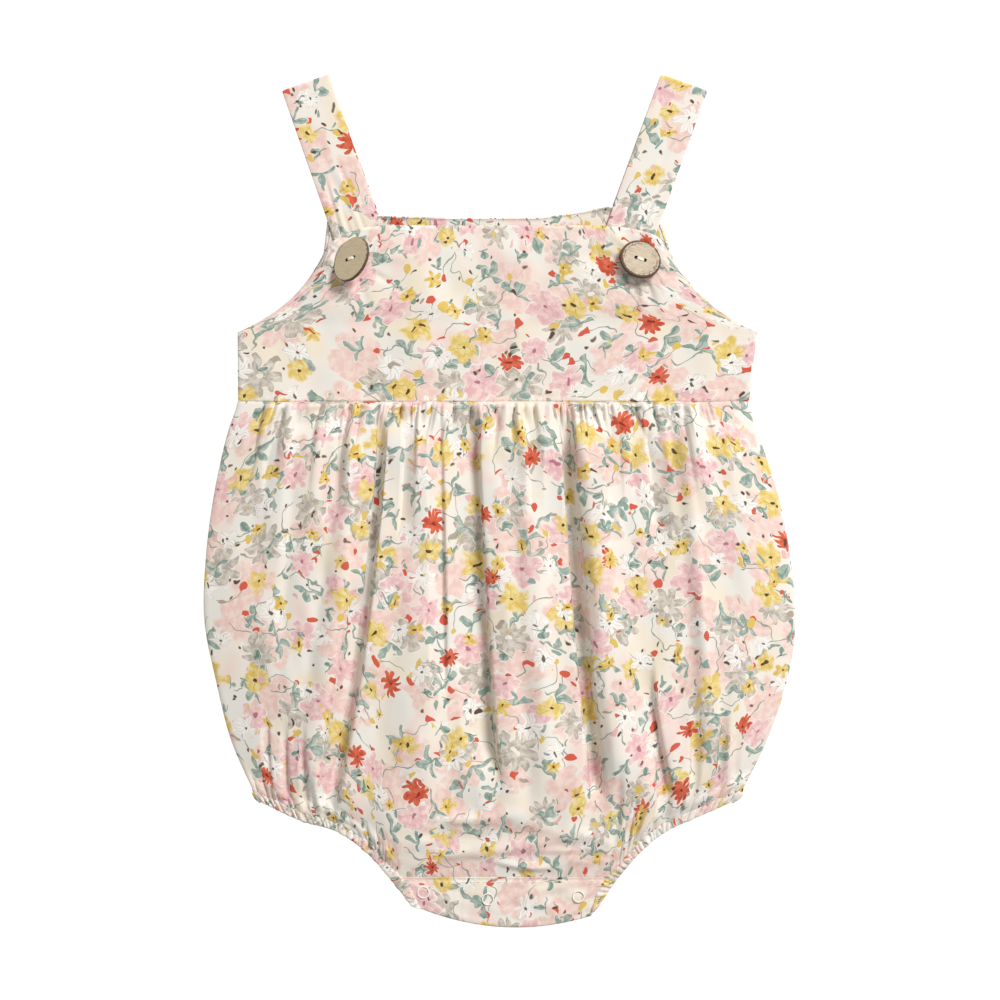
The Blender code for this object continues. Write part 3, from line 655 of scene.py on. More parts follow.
def yoke_side(side, top, out=0.0):
    """The yoke's side seam and its armhole as one edge line."""
    corner = np.array(UNDERARMS[side])
    low = np.array([SIGN[side] * SIDES[side][0][0], WAIST + GAP])
    end = np.array(top, float) + (SIGN[side] * out, 0)
    bend = corner + (end - corner) * (0.71, 0.33)
    t = np.linspace(0, 1, 41)[:, None]
    armhole = corner * (1 - t) ** 2 + bend * 2 * t * (1 - t) + end * t * t
    return np.array([low, corner]), armhole


def yoke_places(front, columns, rows):
    """Rows of points on the outer face of a yoke."""
    under = FRONT if front else BACK
    sides = []
    for side, top in (("left", FRONT_NECK[0]), ("right", FRONT_NECK[-1])):
        seam, armhole = yoke_side(side, top, 0.0 if front else 1.0)
        if not front:
            armhole = np.vstack([armhole, [BACK_NECK[0] if side == "left" else BACK_NECK[-1]]])
        parts = ((raised(seam, under), SEAM_SHARE), (raised(armhole, under), 1 - SEAM_SHARE))
        sides.append(joined(*parts))
    neck = rounded(FRONT_NECK, 120) if front else np.array(BACK_NECK, float)
    waist = np.array([[-SIDES["left"][0][0], WAIST + GAP], [SIDES["right"][0][0], WAIST + GAP]])
    across = crowded(0, 1, columns, 0.6)
    seam_rows = round(rows * SEAM_SHARE)
    up = np.concatenate([
        crowded(0, SEAM_SHARE, seam_rows), crowded(SEAM_SHARE, 1, rows - seam_rows)[1:],
    ])
    edges = (joined((raised(waist, under), 1.0)), joined((raised(neck, under), 1.0)))
    places = patch(*edges, *sides, across, up)
    u, v = np.broadcast_arrays(across[None, :], up[:, None])
    x, y = places[..., 0], places[..., 1]
    from_side = np.minimum(u, 1 - u) * YOKE_WIDTH
    from_waist, from_neck = v * YOKE_HEIGHT, (1 - v) * YOKE_HEIGHT
    inside = ease(from_side / 14) * ease(from_neck / 12)
    soft = fold_shape(YOKE_FOLDS, x, y, 120.0, WAIST)[0] + rumple(8, x, y, 30.0, 0.35) + 0.4
    from_edge = np.minimum(from_side, np.minimum(from_neck, from_waist))
    stitched = rumple(9, x, y, 4.2, 0.15) * (1 - ease(from_edge / 5))
    edge = rolled(from_side, 0.75, 1.5) + rolled(from_neck, 0.75, 1.3) + rolled(from_waist, 1.0, 1.1)
    if front:
        places[..., 2] += WALL + (OVER_STRAP - FRONT) * over_strap(x, y)
        for button in BUTTONS:
            places[..., 2] += button_pull(button, x, y)
        places[..., 2] += soft * inside + stitched - edge
    else:
        places[..., 2] += np.maximum(edge + np.abs(stitched), 0.0)
    return places


YOKE_WIDTH, YOKE_HEIGHT = 190.0, 77.0
SEAM_SHARE = 0.36   # share of a yoke's side edge that is side seam, below the armhole
FACED = 0.9     # two layers of poplin
PLY = 0.25      # one layer, inside a flat tube
front_yoke = lay_cloth("front_yoke_cloth", yoke_places(True, 300, 118), (35, 420), FACED)
back_places = yoke_places(False, 150, 60)
back_yoke = lay_cloth("back_yoke_cloth", back_places, (930, 660), FACED, face_down=True)

# %% [markdown]
# ## Straps and leg casings
#
# A strap is a tube of cloth, turned and pressed flat. A leg casing is a folded strip with elastic
# in it, so it bunches into small ribs. Both run along the front, turn over at one end and come back
# underneath. Their sections stand on two edge lines and an upward direction, which turns by half a
# circle at the fold.

# %% Straps and leg casings
TURN_STEPS = 14


def folded_band(front, back):
    """Edge lines and upward directions of a band that runs to a fold and comes back underneath."""
    up = np.array([0.0, 0.0, 1.0])
    outer, inner = front[-1]
    radius = (outer[2] - back[0][0][2]) / 2
    edge = inner - outer
    out = np.array([edge[1], -edge[0], 0.0])
    out /= np.linalg.norm(out)
    if out @ (front[-2][0] - outer) > 0:
        out = -out
    sections = [(o, i, up) for o, i in front]
    for step in range(1, TURN_STEPS):
        angle = math.pi * step / TURN_STEPS
        spoke = out * math.sin(angle) + up * math.cos(angle)
        sections.append((outer + (spoke - up) * radius, inner + (spoke - up) * radius, spoke))
    sections += [(o, i, -up) for o, i in back]
    return [np.array(line) for line in zip(*sections)]


def band_places(outer, inner, up, half, around, power, ribs, bulge):
    """Rows of points round a flattened tube.

    ribs gives extra height at each share and section. bulge is how much of it the long edges take.
    """
    share = crowded(0, 1, around // 2, 0.9)
    share = np.concatenate([share, share[-2::-1]])
    outwards = np.sign(0.5 - share) * np.abs(1 - 2 * share) ** (1 / power)
    upwards = np.sqrt(1 - outwards ** 2)
    upwards[around // 2 + 1:] *= -1
    span = (inner - outer)[:, None]
    places = outer[:, None] + span * share[None, :, None]
    extra = ribs(share[None, :], np.arange(len(outer))[:, None])
    places -= span / np.linalg.norm(span, axis=2, keepdims=True) * (extra * bulge * outwards)[..., None]
    return places + up[:, None] * ((half + extra) * upwards)[..., None]


# Place and width are shares of the strap's width. Low and high count its sections from below.
Crease = namedtuple("Crease", "place lean width low high depth")
STRAP_CREASES = {
    "left": (
        Crease(0.34, 0.05, 0.03, 8, 56, 0.5), Crease(0.41, 0.05, 0.05, 8, 52, -0.5),
        Crease(0.86, -0.10, 0.03, 8, 54, 0.5), Crease(0.79, -0.10, 0.05, 8, 48, -0.5),
        Crease(0.62, 0.05, 0.03, 8, 36, 0.4), Crease(0.56, 0.05, 0.05, 8, 34, -0.3),
        Crease(0.60, 0.10, 0.07, 34, 78, 0.25),
    ),
    "right": (
        Crease(0.30, -0.04, 0.03, 8, 52, 0.5), Crease(0.23, -0.04, 0.05, 8, 46, -0.4),
        Crease(0.66, 0.06, 0.03, 8, 46, 0.5), Crease(0.73, 0.06, 0.05, 8, 42, -0.5),
        Crease(0.45, -0.12, 0.07, 36, 80, 0.25),
    ),
}
STRAP_STEPS = 90


def strap_places(strap):
    """Rows of points round a strap, from its lower end over the fold and down the back."""
    way = strap_way(strap)
    fold = np.array([strap.x, strap.y]) + way * STRAP_DROP
    half = np.array([way[1], -way[0]]) * STRAP_WIDTH / 2
    runs = []
    halves = ((0.0, FRONT + WALL / 2, None), (STRAP_SPLAY, BACK + WALL / 2, BACK_NECK))
    for splay, lift, neck in halves:
        edges, slant = [], strap_way(strap, splay)
        for start in (fold - half, fold + half):
            end_y = STRAP_END
            for _ in range(5 if neck else 1):
                end = start + slant * (end_y - start[1]) / slant[1]
                if neck:
                    end_y = float(np.interp(end[0], *np.array(neck, float).T)) + 2 * GAP
            line = along(np.array([start, end]), np.linspace(0, 1, STRAP_STEPS))
            edges.append(raised(line, lift))
        runs.append(np.stack(edges, axis=1))
    front, back = runs
    waves = rumple(len(strap.side), front[:, :, 0], front[:, :, 1], 26.0, 0.16)
    front[:, :, 2] += waves * ease(np.arange(STRAP_STEPS) / 12)[:, None]
    front[-1:, :, 2] = FRONT + WALL / 2
    outer, inner, up = folded_band(front[::-1], back)

    def ribs(share, number):
        """Creases that run up the strap from under the yoke, numbered from its lower end."""
        total = np.zeros(np.broadcast_shapes(share.shape, number.shape))
        for crease in STRAP_CREASES[strap.side]:
            centre = crease.place + crease.lean * (number - crease.low) / 40
            away = (share - centre) / crease.width
            shown = ease(np.minimum(number - crease.low, crease.high - number) / 10)
            total = total - crease.depth * np.exp(-away * away) * shown
        return total

    return band_places(outer, inner, up, WALL / 2, 90, 0.22, ribs, 0.0)


straps = {}
for number, strap in enumerate(STRAPS):
    name, shift = "strap_cloth_" + strap.side, (300 + 90 * number, 610)
    straps[strap.side] = lay_cloth(name, strap_places(strap), shift, PLY, tube=True)

CASING_STEPS, CORNER_STEPS = 230, 14
MIDDLE_OF_TURN = CASING_STEPS + TURN_STEPS // 2


def casing_places(side):
    """Rows of points round a casing, from the front placket to the side seam and back underneath."""
    outer = rounded(leg_edge(side), CASING_STEPS)
    inner = rounded(leg_line(side, CASING_WIDTH), CASING_STEPS)
    for line in (outer, inner):
        corner = line[CORNER_STEPS]
        start = line[0] + (corner - line[0]) / np.linalg.norm(corner - line[0]) * CASING_TURN
        line[:CORNER_STEPS] = np.linspace(start, corner, CORNER_STEPS + 1)[:CORNER_STEPS]
    half = CASING_THICK / 2
    front_heights = FRONT_LEG + half + 0.3, FRONT_PLACKET + half + 0.3
    back_heights = BACK + half, BACK_PLACKET + WALL / 2
    front, back = (
        np.stack([raised(outer, *pair), raised(inner, *pair)], axis=1)
        for pair in (front_heights, back_heights)
    )
    outer, inner, up = folded_band(front[::-1], back)

    def ribs(share, number):
        """The same ribs as on the panels, by distance from the turn at the side seam."""
        steps = np.maximum(np.abs(number - MIDDLE_OF_TURN) - TURN_STEPS // 2, 0)
        place = steps * LEG_LENGTH[side] / CASING_STEPS + RIB_SLANT * share
        on_front = number < MIDDLE_OF_TURN
        total = np.zeros(place.shape)
        for is_front in (True, False):
            for tube in LEG_RIBS[side, is_front]:
                t = 2 * (place - tube.start) / tube.width - 1
                crown = tube.height * np.sqrt(np.clip(1 - t * t, 0, 1)) * (on_front == is_front)
                total = np.maximum(total, crown)
        return np.where(on_front, total - 0.6, 0.3 * (total - 2.3))

    return band_places(outer, inner, up, half, 34, 0.30, ribs, 0.25)


casing_rows = {side: casing_places(side) for side in SIGN}
casings = {}
for number, (side, rows) in enumerate(casing_rows.items()):
    name, shift = "casing_cloth_" + side, (560 + 60 * number, 50)
    casings[side] = lay_cloth(name, rows, shift, PLY, tube=True, fullness=1.9)

# %% [markdown]
# ## Crotch plackets
#
# A folded strip finishes each crotch edge and holds the snaps. It is flat, with a row of stitches
# along its upper edge and small waves where the elastic beside it pulls.

# %% Crotch plackets
PLACKET_WIDTH, PLACKET_HEIGHT = 86.0, 21.0


def placket_places(front, columns, rows):
    """Rows of points on the outer face of a placket."""
    under = FRONT_PLACKET if front else BACK_PLACKET
    sides = []
    for side in SIGN:
        line = leg_line(side, CASING_WIDTH - TUCK)
        line = line[line[:, 1] < PLACKET_TOP - GAP]
        line = np.vstack([[(PLACKET_CORNERS[side], PLACKET_TOP + TUCK)], line])[::-1]
        sides.append(raised(line, under))
    ends = [side[0, 0] for side in sides]
    reach = np.linspace(*ends, 80)
    hem = raised(np.column_stack([reach, hem_height(reach)]), under)
    top = np.array([sides[0][-1], sides[1][-1]])
    across, up = crowded(0, 1, columns, 0.6), crowded(0, 1, rows, 0.6)
    places = patch(*(joined((line, 1.0)) for line in (hem, top, *sides)), across, up)
    u, v = np.broadcast_arrays(across[None, :], up[:, None])
    x, y = places[..., 0], places[..., 1]
    from_side, from_hem = np.minimum(u, 1 - u) * PLACKET_WIDTH, v * PLACKET_HEIGHT
    from_top = PLACKET_TOP + TUCK - y
    under_panel = 0.8 * ease((TUCK + 0.05 - from_top) / 0.4)
    edge = rolled(from_side, 0.4, 0.9) + rolled(from_hem, 0.75, 1.2) + under_panel
    stitch_dip = 0.3 * np.exp(-(((from_top - 2.4) / 0.7) ** 2))
    soft = rumple(14, x, y, 13.0, 0.30, 0.5) + rumple(15, x, y, 4.0, 0.10)
    if front:
        inside = ease(np.minimum(from_hem, from_top - 1) / 3)
        places[..., 2] += WALL - edge - stitch_dip + soft * inside
    else:
        places[..., 2] += edge + 0.5 * stitch_dip
    return places


placket_rows = placket_places(True, 120, 34)
front_placket = lay_cloth("front_placket_cloth", placket_rows, (20, -320), FACED)
back_places = placket_places(False, 90, 24)
back_placket = lay_cloth("back_placket_cloth", back_places, (900, -60), FACED, face_down=True)

# %% [markdown]
# ## Printed cotton poplin
#
# Poplin is a fine plain weave, dull and smooth. The print is a scatter of small garden flowers, as
# if painted in watercolour and printed by roller: blossoms, poppies, daisies, leaves and buds on
# cream. Nothing is drawn on an image. Each kind of flower has its own layer of Voronoi cells. A cell
# gives each flower a place, a turn and a chance to appear, and polar coordinates inside the cell give
# its petals.

# %% Colours and the node helper
def linear(code):
    """An sRGB hex colour as linear values for a shader."""
    parts = [int(code[k:k + 2], 16) / 255 for k in (1, 3, 5)]
    return tuple(c / 12.92 if c <= 0.04045 else ((c + 0.055) / 1.055) ** 2.4 for c in parts) + (1.0,)


def add_node(tree, kind, inputs=(), **settings):
    """Adds a shader node, sets it up, and links or sets its inputs by number or by name."""
    node = tree.nodes.new("ShaderNode" + kind)
    for key, value in settings.items():
        setattr(node, key, value)
    for key, value in inputs.items() if isinstance(inputs, dict) else enumerate(inputs):
        if isinstance(value, bpy.types.Node):
            value = value.outputs[0]
        if isinstance(value, bpy.types.NodeSocket):
            tree.links.new(value, node.inputs[key])
        else:
            node.inputs[key].default_value = value
    return node


def new_material(name):
    """An empty material with its output, and the helper tied to its node tree."""
    material = bpy.data.materials.new(name)
    material.use_nodes = True
    material.node_tree.nodes.clear()
    return material, partial(add_node, material.node_tree)


print("cream is", [round(c, 3) for c in linear("#F4EADE")])

# %% [markdown]
# The floor is matt white card, lit from below as on a light table, so that it stays white and shadows
# on it stay faint.

# %% Studio floor
FLOOR_GLOW = 0.97
card, n = new_material("white_card")
card_surface = n("BsdfPrincipled", {
    "Base Color": linear("#606060"), "Roughness": 0.9, "Emission Color": (1.0, 1.0, 1.0, 1.0),
    "Emission Strength": FLOOR_GLOW,
})
n("OutputMaterial", {"Surface": card_surface.outputs["BSDF"]})
floor.data.materials.append(card)
print("floor gives off", FLOOR_GLOW, "of white by itself")

# %% [markdown]
# A flower is a row of facts: its cell size and the turn of its cells, how often it appears, its
# petals, its radii in millimetres, how pointed its petals are and how soft their edge, and its
# colours. A leaf spray, or fan, is the same shape with its lower half left out. The halo is the bare
# cloth that a printer leaves round a motif.

# %% The flowers of the print
Motif = namedtuple(
    "Motif", "cell turn often petals inner outer point soft light dark halo heart heart_size vein line fan"
)
PRINT = {
    "blossom": Motif(25, 0.3, 0.80, 5, 6.6, 11.0, 0.7, 1.2,
        "#F4DDD2", "#EFCCC3", 0.0, "#6A5446", 0.0, "#E6C5BA", "#C9ADA2", 0),
    "daisy": Motif(24, 1.1, 0.46, 8, 3.9, 8.6, 0.8, 0.5,
        "#DAD2C6", "#B8AFA2", 0.3, "#F3EADF", 1.2, "#F1E9DE", "#8F857C", 0),
    "leaves": Motif(15.5, 2.2, 0.58, 4, 0.7, 6.6, 1.1, 0.4,
        "#B9C3B8", "#8FA399", 0.25, "#F4EADE", 0.0, "#6E8A7F", "", 1),
    "peony": Motif(24, 0.7, 0.46, 6, 4.6, 7.4, 0.7, 0.8,
        "#F4D6D2", "#E9BCBC", 0.2, "#B9788A", 0.8, "#D9A2A8", "#B98791", 0),
    "poppy": Motif(21, 1.7, 0.40, 5, 4.1, 6.1, 0.6, 1.3,
        "#F0DC9C", "#E3C56C", 0.0, "#5A452C", 0.75, "#C9A24C", "", 0),
    "white_flower": Motif(20, 2.7, 0.56, 7, 2.2, 5.3, 1.0, 0.4,
        "#FBF8F2", "#F4EFE8", 0.0, "#6B675F", 0.6, "#BDB7AE", "#8F9189", 0),
    "sprig": Motif(13, 0.2, 0.34, 3, 0.5, 4.2, 1.1, 0.4,
        "#AEBBAF", "#869D92", 0.2, "#F4EADE", 0.0, "#5F7D71", "", 1),
    "aster": Motif(29, 1.4, 0.19, 9, 3.0, 5.2, 0.9, 0.35,
        "#DE7254", "#CB523A", 0.2, "#8F3424", 0.7, "#A63E2B", "", 0),
    "buttercup": Motif(17, 2.5, 0.27, 5, 1.9, 3.6, 0.8, 0.6,
        "#EFD892", "#DDB958", 0.0, "#6B4A2A", 0.5, "#C29A40", "", 0),
}


def motif_frame(n, cloth, cell, turn, loose=0.55):
    """The place of each point in its motif, in millimetres, and the motif's own random colour."""
    grid = n("Mapping", {
        "Vector": cloth, "Rotation": (0, 0, turn), "Location": (turn, -turn, 0),
        "Scale": (1 / (cell * MM),) * 3,
    })
    spot = n("TexVoronoi", {"Vector": grid, "Scale": 1.0, "Randomness": loose},
             voronoi_dimensions="2D", feature="F1")
    away = n("VectorMath", (grid, spot.outputs["Position"]), operation="SUBTRACT")
    away = n("VectorMath", {0: away, "Scale": float(cell)}, operation="SCALE")
    chance = n("SeparateColor", (spot.outputs["Color"],))
    angle = n("Math", (chance.outputs["Red"], math.tau), operation="MULTIPLY")
    place = n("VectorRotate", {"Vector": away, "Angle": angle}, rotation_type="Z_AXIS")
    return place, chance


def print_motif(n, ground, cloth, pigment, motif):
    """Paints one kind of flower or leaf over the ground colour."""
    place, chance = motif_frame(n, cloth, motif.cell, motif.turn)
    part = n("SeparateXYZ", (place,))
    radius = n("VectorMath", (place,), operation="LENGTH").outputs["Value"]
    bearing = n("Math", (part.outputs["Y"], part.outputs["X"]), operation="ARCTAN2")
    beat = n("Math", (bearing, motif.petals / 2), operation="MULTIPLY")
    crest = n("Math", (n("Math", (beat,), operation="COSINE"),), operation="ABSOLUTE")
    petal = n("Math", (crest, motif.point), operation="POWER")
    size = n("MapRange", {"Value": chance.outputs["Blue"], "To Min": 0.8, "To Max": 1.22})
    edge = n("Math", (petal, motif.outer - motif.inner, motif.inner), operation="MULTIPLY_ADD")
    inside = n("Math", (n("Math", (edge, size), operation="MULTIPLY"), radius), operation="SUBTRACT")
    shown = n("Math", (chance.outputs["Green"], motif.often), operation="LESS_THAN")
    if motif.fan:
        upper = n("Math", (part.outputs["X"], -0.4), operation="GREATER_THAN")
        shown = n("Math", (shown, upper), operation="MULTIPLY")
    if motif.halo:
        bare = n("MapRange", {"Value": inside, "From Min": -motif.halo, "From Max": 0.1 - motif.halo})
        bare = n("Math", (bare, shown), operation="MULTIPLY")
        ground = n("MixRGB", (bare, ground, linear("#F9F2E8")))
    mask = n("MapRange", {"Value": inside, "From Max": motif.soft})
    mask = n("Math", (mask, shown), operation="MULTIPLY")
    paint = n("MixRGB", (pigment, linear(motif.light), linear(motif.dark)))
    beside = n("Math", (n("Math", (beat,), operation="SINE"),), operation="ABSOLUTE")
    beside = n("Math", (beside, radius), operation="MULTIPLY")
    vein = n("MapRange", {"Value": beside, "From Min": 0.42, "From Max": 0.18, "To Max": 0.75})
    short = n("Math", (inside, 0.12 * motif.outer), operation="GREATER_THAN")
    paint = n("MixRGB", (n("Math", (vein, short), operation="MULTIPLY"), paint, linear(motif.vein)))
    if motif.line:
        stroke = n("MapRange", {"Value": inside, "From Min": 0.55, "From Max": 0.35, "To Max": 0.8})
        stroke = n("Math", (stroke, pigment), operation="MULTIPLY")
        paint = n("MixRGB", (stroke, paint, linear(motif.line)))
    if motif.heart_size:
        rim = motif.heart_size
        heart = n("MapRange", {"Value": radius, "From Min": rim + 0.2, "From Max": rim})
        paint = n("MixRGB", (heart, paint, linear(motif.heart)))
    return n("MixRGB", (mask, ground, paint))


print(len(PRINT), "kinds of flower and leaf")

# %% [markdown]
# Between the flowers run thin stems, each a shallow parabola with a bud at its end, then loose petals
# in five colours and fine dark specks.

# %% Stems, petals and specks of the print
def print_stems(n, ground, cloth, cell, turn, often, bud):
    """Thin curved stems, each with a round bud at its end."""
    place, chance = motif_frame(n, cloth, cell, turn)
    part = n("SeparateXYZ", (place,))
    x, y = part.outputs["X"], part.outputs["Y"]
    curve = n("Math", (n("Math", (x, x), operation="MULTIPLY"), 0.06), operation="MULTIPLY")
    off = n("Math", (n("Math", (y, curve), operation="SUBTRACT"),), operation="ABSOLUTE")
    shown = n("Math", (chance.outputs["Green"], often), operation="LESS_THAN")
    reach = n("Math", (n("Math", (x,), operation="ABSOLUTE"), cell * 0.36), operation="LESS_THAN")
    stem = n("MapRange", {"Value": off, "From Min": 0.4, "From Max": 0.16})
    stem = n("Math", (n("Math", (stem, reach), operation="MULTIPLY"), shown), operation="MULTIPLY")
    ground = n("MixRGB", (stem, ground, linear("#939F95")))
    tip = cell * 0.36
    apart = n("VectorMath", (place, (tip, 0.06 * tip * tip, 0.0)), operation="DISTANCE").outputs["Value"]
    head = n("MapRange", {"Value": apart, "From Min": 1.8, "From Max": 1.6})
    head = n("Math", (head, shown), operation="MULTIPLY")
    return n("MixRGB", (head, ground, linear(bud)))


def print_petals(n, ground, cloth, cell, turn, often):
    """Loose petals in five colours."""
    place, chance = motif_frame(n, cloth, cell, turn, 0.8)
    long = n("VectorMath", (place, (1.0, 2.1, 0.0)), operation="MULTIPLY")
    size = n("VectorMath", (long,), operation="LENGTH").outputs["Value"]
    limit = n("MapRange", {"Value": chance.outputs["Blue"], "To Min": 0.7, "To Max": 2.1})
    inside = n("Math", (limit, size), operation="SUBTRACT")
    shown = n("Math", (chance.outputs["Green"], often), operation="LESS_THAN")
    mask = n("Math", (n("MapRange", {"Value": inside, "From Max": 0.25}), shown), operation="MULTIPLY")
    paint = n("ValToRGB", (chance.outputs["Red"],))
    paint.color_ramp.interpolation = "CONSTANT"
    colours = ("#8FA89C", "#E4C878", "#CF6049", "#EBBABA", "#B3A698")
    stops = paint.color_ramp.elements
    stops.remove(stops[1])
    stops[0].color = linear(colours[0])
    for number, colour in enumerate(colours[1:], 1):
        stops.new(number / len(colours)).color = linear(colour)
    return n("MixRGB", (mask, ground, paint))


def print_specks(n, ground, cloth, cell, often, colour):
    """Fine round specks of one colour."""
    spots = n("TexVoronoi", {"Vector": cloth, "Scale": 1 / (cell * MM), "Randomness": 1.0},
              voronoi_dimensions="2D", feature="F1")
    dot = n("MapRange", {"Value": spots.outputs["Distance"], "From Min": 0.14, "From Max": 0.08})
    chance = n("SeparateColor", (spots.outputs["Color"],))
    shown = n("Math", (chance.outputs["Red"], often), operation="LESS_THAN")
    return n("MixRGB", (n("Math", (dot, shown), operation="MULTIPLY"), ground, linear(colour)))


# %% [markdown]
# The brush wobble bends the cloth's coordinates by a millimetre or two, so that no petal has a perfect
# edge and no two flowers are alike. The weave is drawn at 0.9 mm, three times too coarse, because the
# real 0.3 mm threads can't show from this far. It gives the cloth its dry, slightly slubbed surface.

# %% Printed poplin
BAND_PERIOD = 0.314     # over this length a band texture repeats, at a scale of 1
WEAVE = 0.9 * MM


def printed_poplin():
    """Cotton poplin, plain woven and roller printed: dull, smooth, with soft-edged flowers."""
    material, n = new_material("printed_cotton_poplin")
    flat = n("UVMap", uv_map="cloth")
    wobble = n("TexNoise", {"Vector": flat, "Scale": 1 / (6.0 * MM), "Detail": 1.0, "Roughness": 0.4},
               noise_dimensions="2D")
    wobble = n("VectorMath", (wobble.outputs["Color"], (0.5, 0.5, 0.5)), operation="SUBTRACT")
    wobble = n("VectorMath", (wobble, (5.4 * MM, 5.4 * MM, 0.0)), operation="MULTIPLY")
    cloth = n("VectorMath", (flat, wobble), operation="ADD")
    wash = n("TexNoise", {"Vector": flat, "Scale": 1 / (24 * MM), "Detail": 1.5}, noise_dimensions="2D")
    wash = n("SeparateColor", (wash.outputs["Color"],))
    ground = linear("#F3EBE0")
    for channel, tint in (("Red", "#F4DED5"), ("Green", "#F2E7D3"), ("Blue", "#EEEBE3")):
        spread = n("MapRange", {"Value": wash.outputs[channel], "From Min": 0.5, "From Max": 0.64})
        ground = n("MixRGB", (spread, ground, linear(tint)))
    pigment = n("TexNoise", {"Vector": flat, "Scale": 1 / (3.0 * MM), "Detail": 2.0}, noise_dimensions="2D")
    pigment = n("MapRange", {"Value": pigment, "From Min": 0.38, "From Max": 0.62})
    ground = print_motif(n, ground, cloth, pigment, PRINT["blossom"])
    ground = print_specks(n, ground, cloth, 8.0, 0.16, "#7A6A5C")
    ground = print_stems(n, ground, cloth, 18.0, 0.4, 0.75, "#D8604A")
    for kind in ("daisy", "leaves"):
        ground = print_motif(n, ground, cloth, pigment, PRINT[kind])
    ground = print_stems(n, ground, cloth, 24.0, 2.1, 0.7, "#E3C266")
    for kind in ("peony", "poppy", "white_flower", "sprig", "aster", "buttercup"):
        ground = print_motif(n, ground, cloth, pigment, PRINT[kind])
    ground = print_petals(n, ground, cloth, 8.0, 0.5, 0.36)
    ground = print_specks(n, ground, cloth, 7.0, 0.14, "#5E4A3A")
    yarns = []
    for way in ("X", "Y"):
        bands = {"Vector": flat, "Scale": BAND_PERIOD / WEAVE, "Distortion": 1.5, "Detail": 1.0}
        yarn = n("TexWave", bands, wave_type="BANDS", bands_direction=way)
        yarns.append(yarn.outputs["Fac"])
    weave = n("Math", yarns, operation="ADD")
    relief = n("Bump", {"Height": weave, "Strength": 0.08, "Distance": 0.12 * MM})
    dyed = n("MixRGB", (1.0, ground, (0.86, 0.86, 0.86, 1.0)), blend_type="MULTIPLY")
    surface = n("BsdfPrincipled", {
        "Base Color": dyed, "Roughness": 0.88, "Specular IOR Level": 0.25, "Sheen Weight": 0.12,
        "Normal": relief,
    })
    n("OutputMaterial", {"Surface": surface.outputs["BSDF"]})
    return material


poplin = printed_poplin()
for piece in (front_bubble, back_bubble, front_yoke, back_yoke, *straps.values(), *casings.values(),
              front_placket, back_placket):
    piece.data.materials.append(poplin)
print("poplin uses", len(poplin.node_tree.nodes), "nodes")

# %% [markdown]
# ## Buttons, thread and snaps
#
# The buttons and the snaps keep the plain model's shapes, which are right, and only get their real
# materials. A coconut button is sawn from the shell and sanded: the faces are pale and dull with
# short brown fibres, and some dark bark stays along the rim. Five strands of cream thread hold it.

# %% Coconut shell, thread and enamel
def button_place(button):
    """The plain model's own place and tilt of a button."""
    bearing, tip = math.radians(button.low_edge), math.radians(button.tip)
    low_way = Vector((math.cos(bearing), math.sin(bearing), 0.0))
    tilt = Matrix.Rotation(tip, 4, Vector((0, 0, 1)).cross(low_way))
    lift = BUTTON_BASE + button.radius * button.narrow * math.sin(tip)
    turn = Matrix.Rotation(math.radians(button.holes), 4, "Z")
    return Matrix.Translation((button.x, button.y, lift)) @ tilt @ turn


def button_axes(n, button):
    """Three distances from the middle of a button's face, in millimetres, along the button's axes."""
    place = button_place(button)
    middle = place @ Vector((0, 0, BUTTON_FACE))
    off = n("VectorMath", (n("TexCoord").outputs["Object"], tuple(middle * MM)), operation="SUBTRACT")
    off = n("VectorMath", {0: off, "Scale": 1 / MM}, operation="SCALE")
    columns = [tuple(place.to_3x3().col[k]) for k in range(3)]
    return [n("VectorMath", (off, axis), operation="DOT_PRODUCT").outputs["Value"] for axis in columns]


def shell_fibres(n, face, pale, brown):
    """The grain of a sanded shell, and its colour with darker dashes in it."""
    long = n("VectorMath", (face, (0.25, 1.0, 0.6)), operation="MULTIPLY")
    grain = n("TexNoise", {"Vector": long, "Scale": 1.1, "Detail": 4.0, "Roughness": 0.65})
    tone = n("MapRange", {"Value": grain, "From Min": 0.35, "From Max": 0.65})
    colour = n("MixRGB", (tone, linear(pale), linear(brown)))
    short = n("VectorMath", (face, (0.5, 2.4, 1.0)), operation="MULTIPLY")
    dash = n("TexNoise", {"Vector": short, "Scale": 1.6, "Detail": 2.0})
    dash = n("MapRange", {"Value": dash, "From Min": 0.64, "From Max": 0.7, "To Max": 0.55})
    return grain, n("MixRGB", (dash, colour, linear("#86735A")))


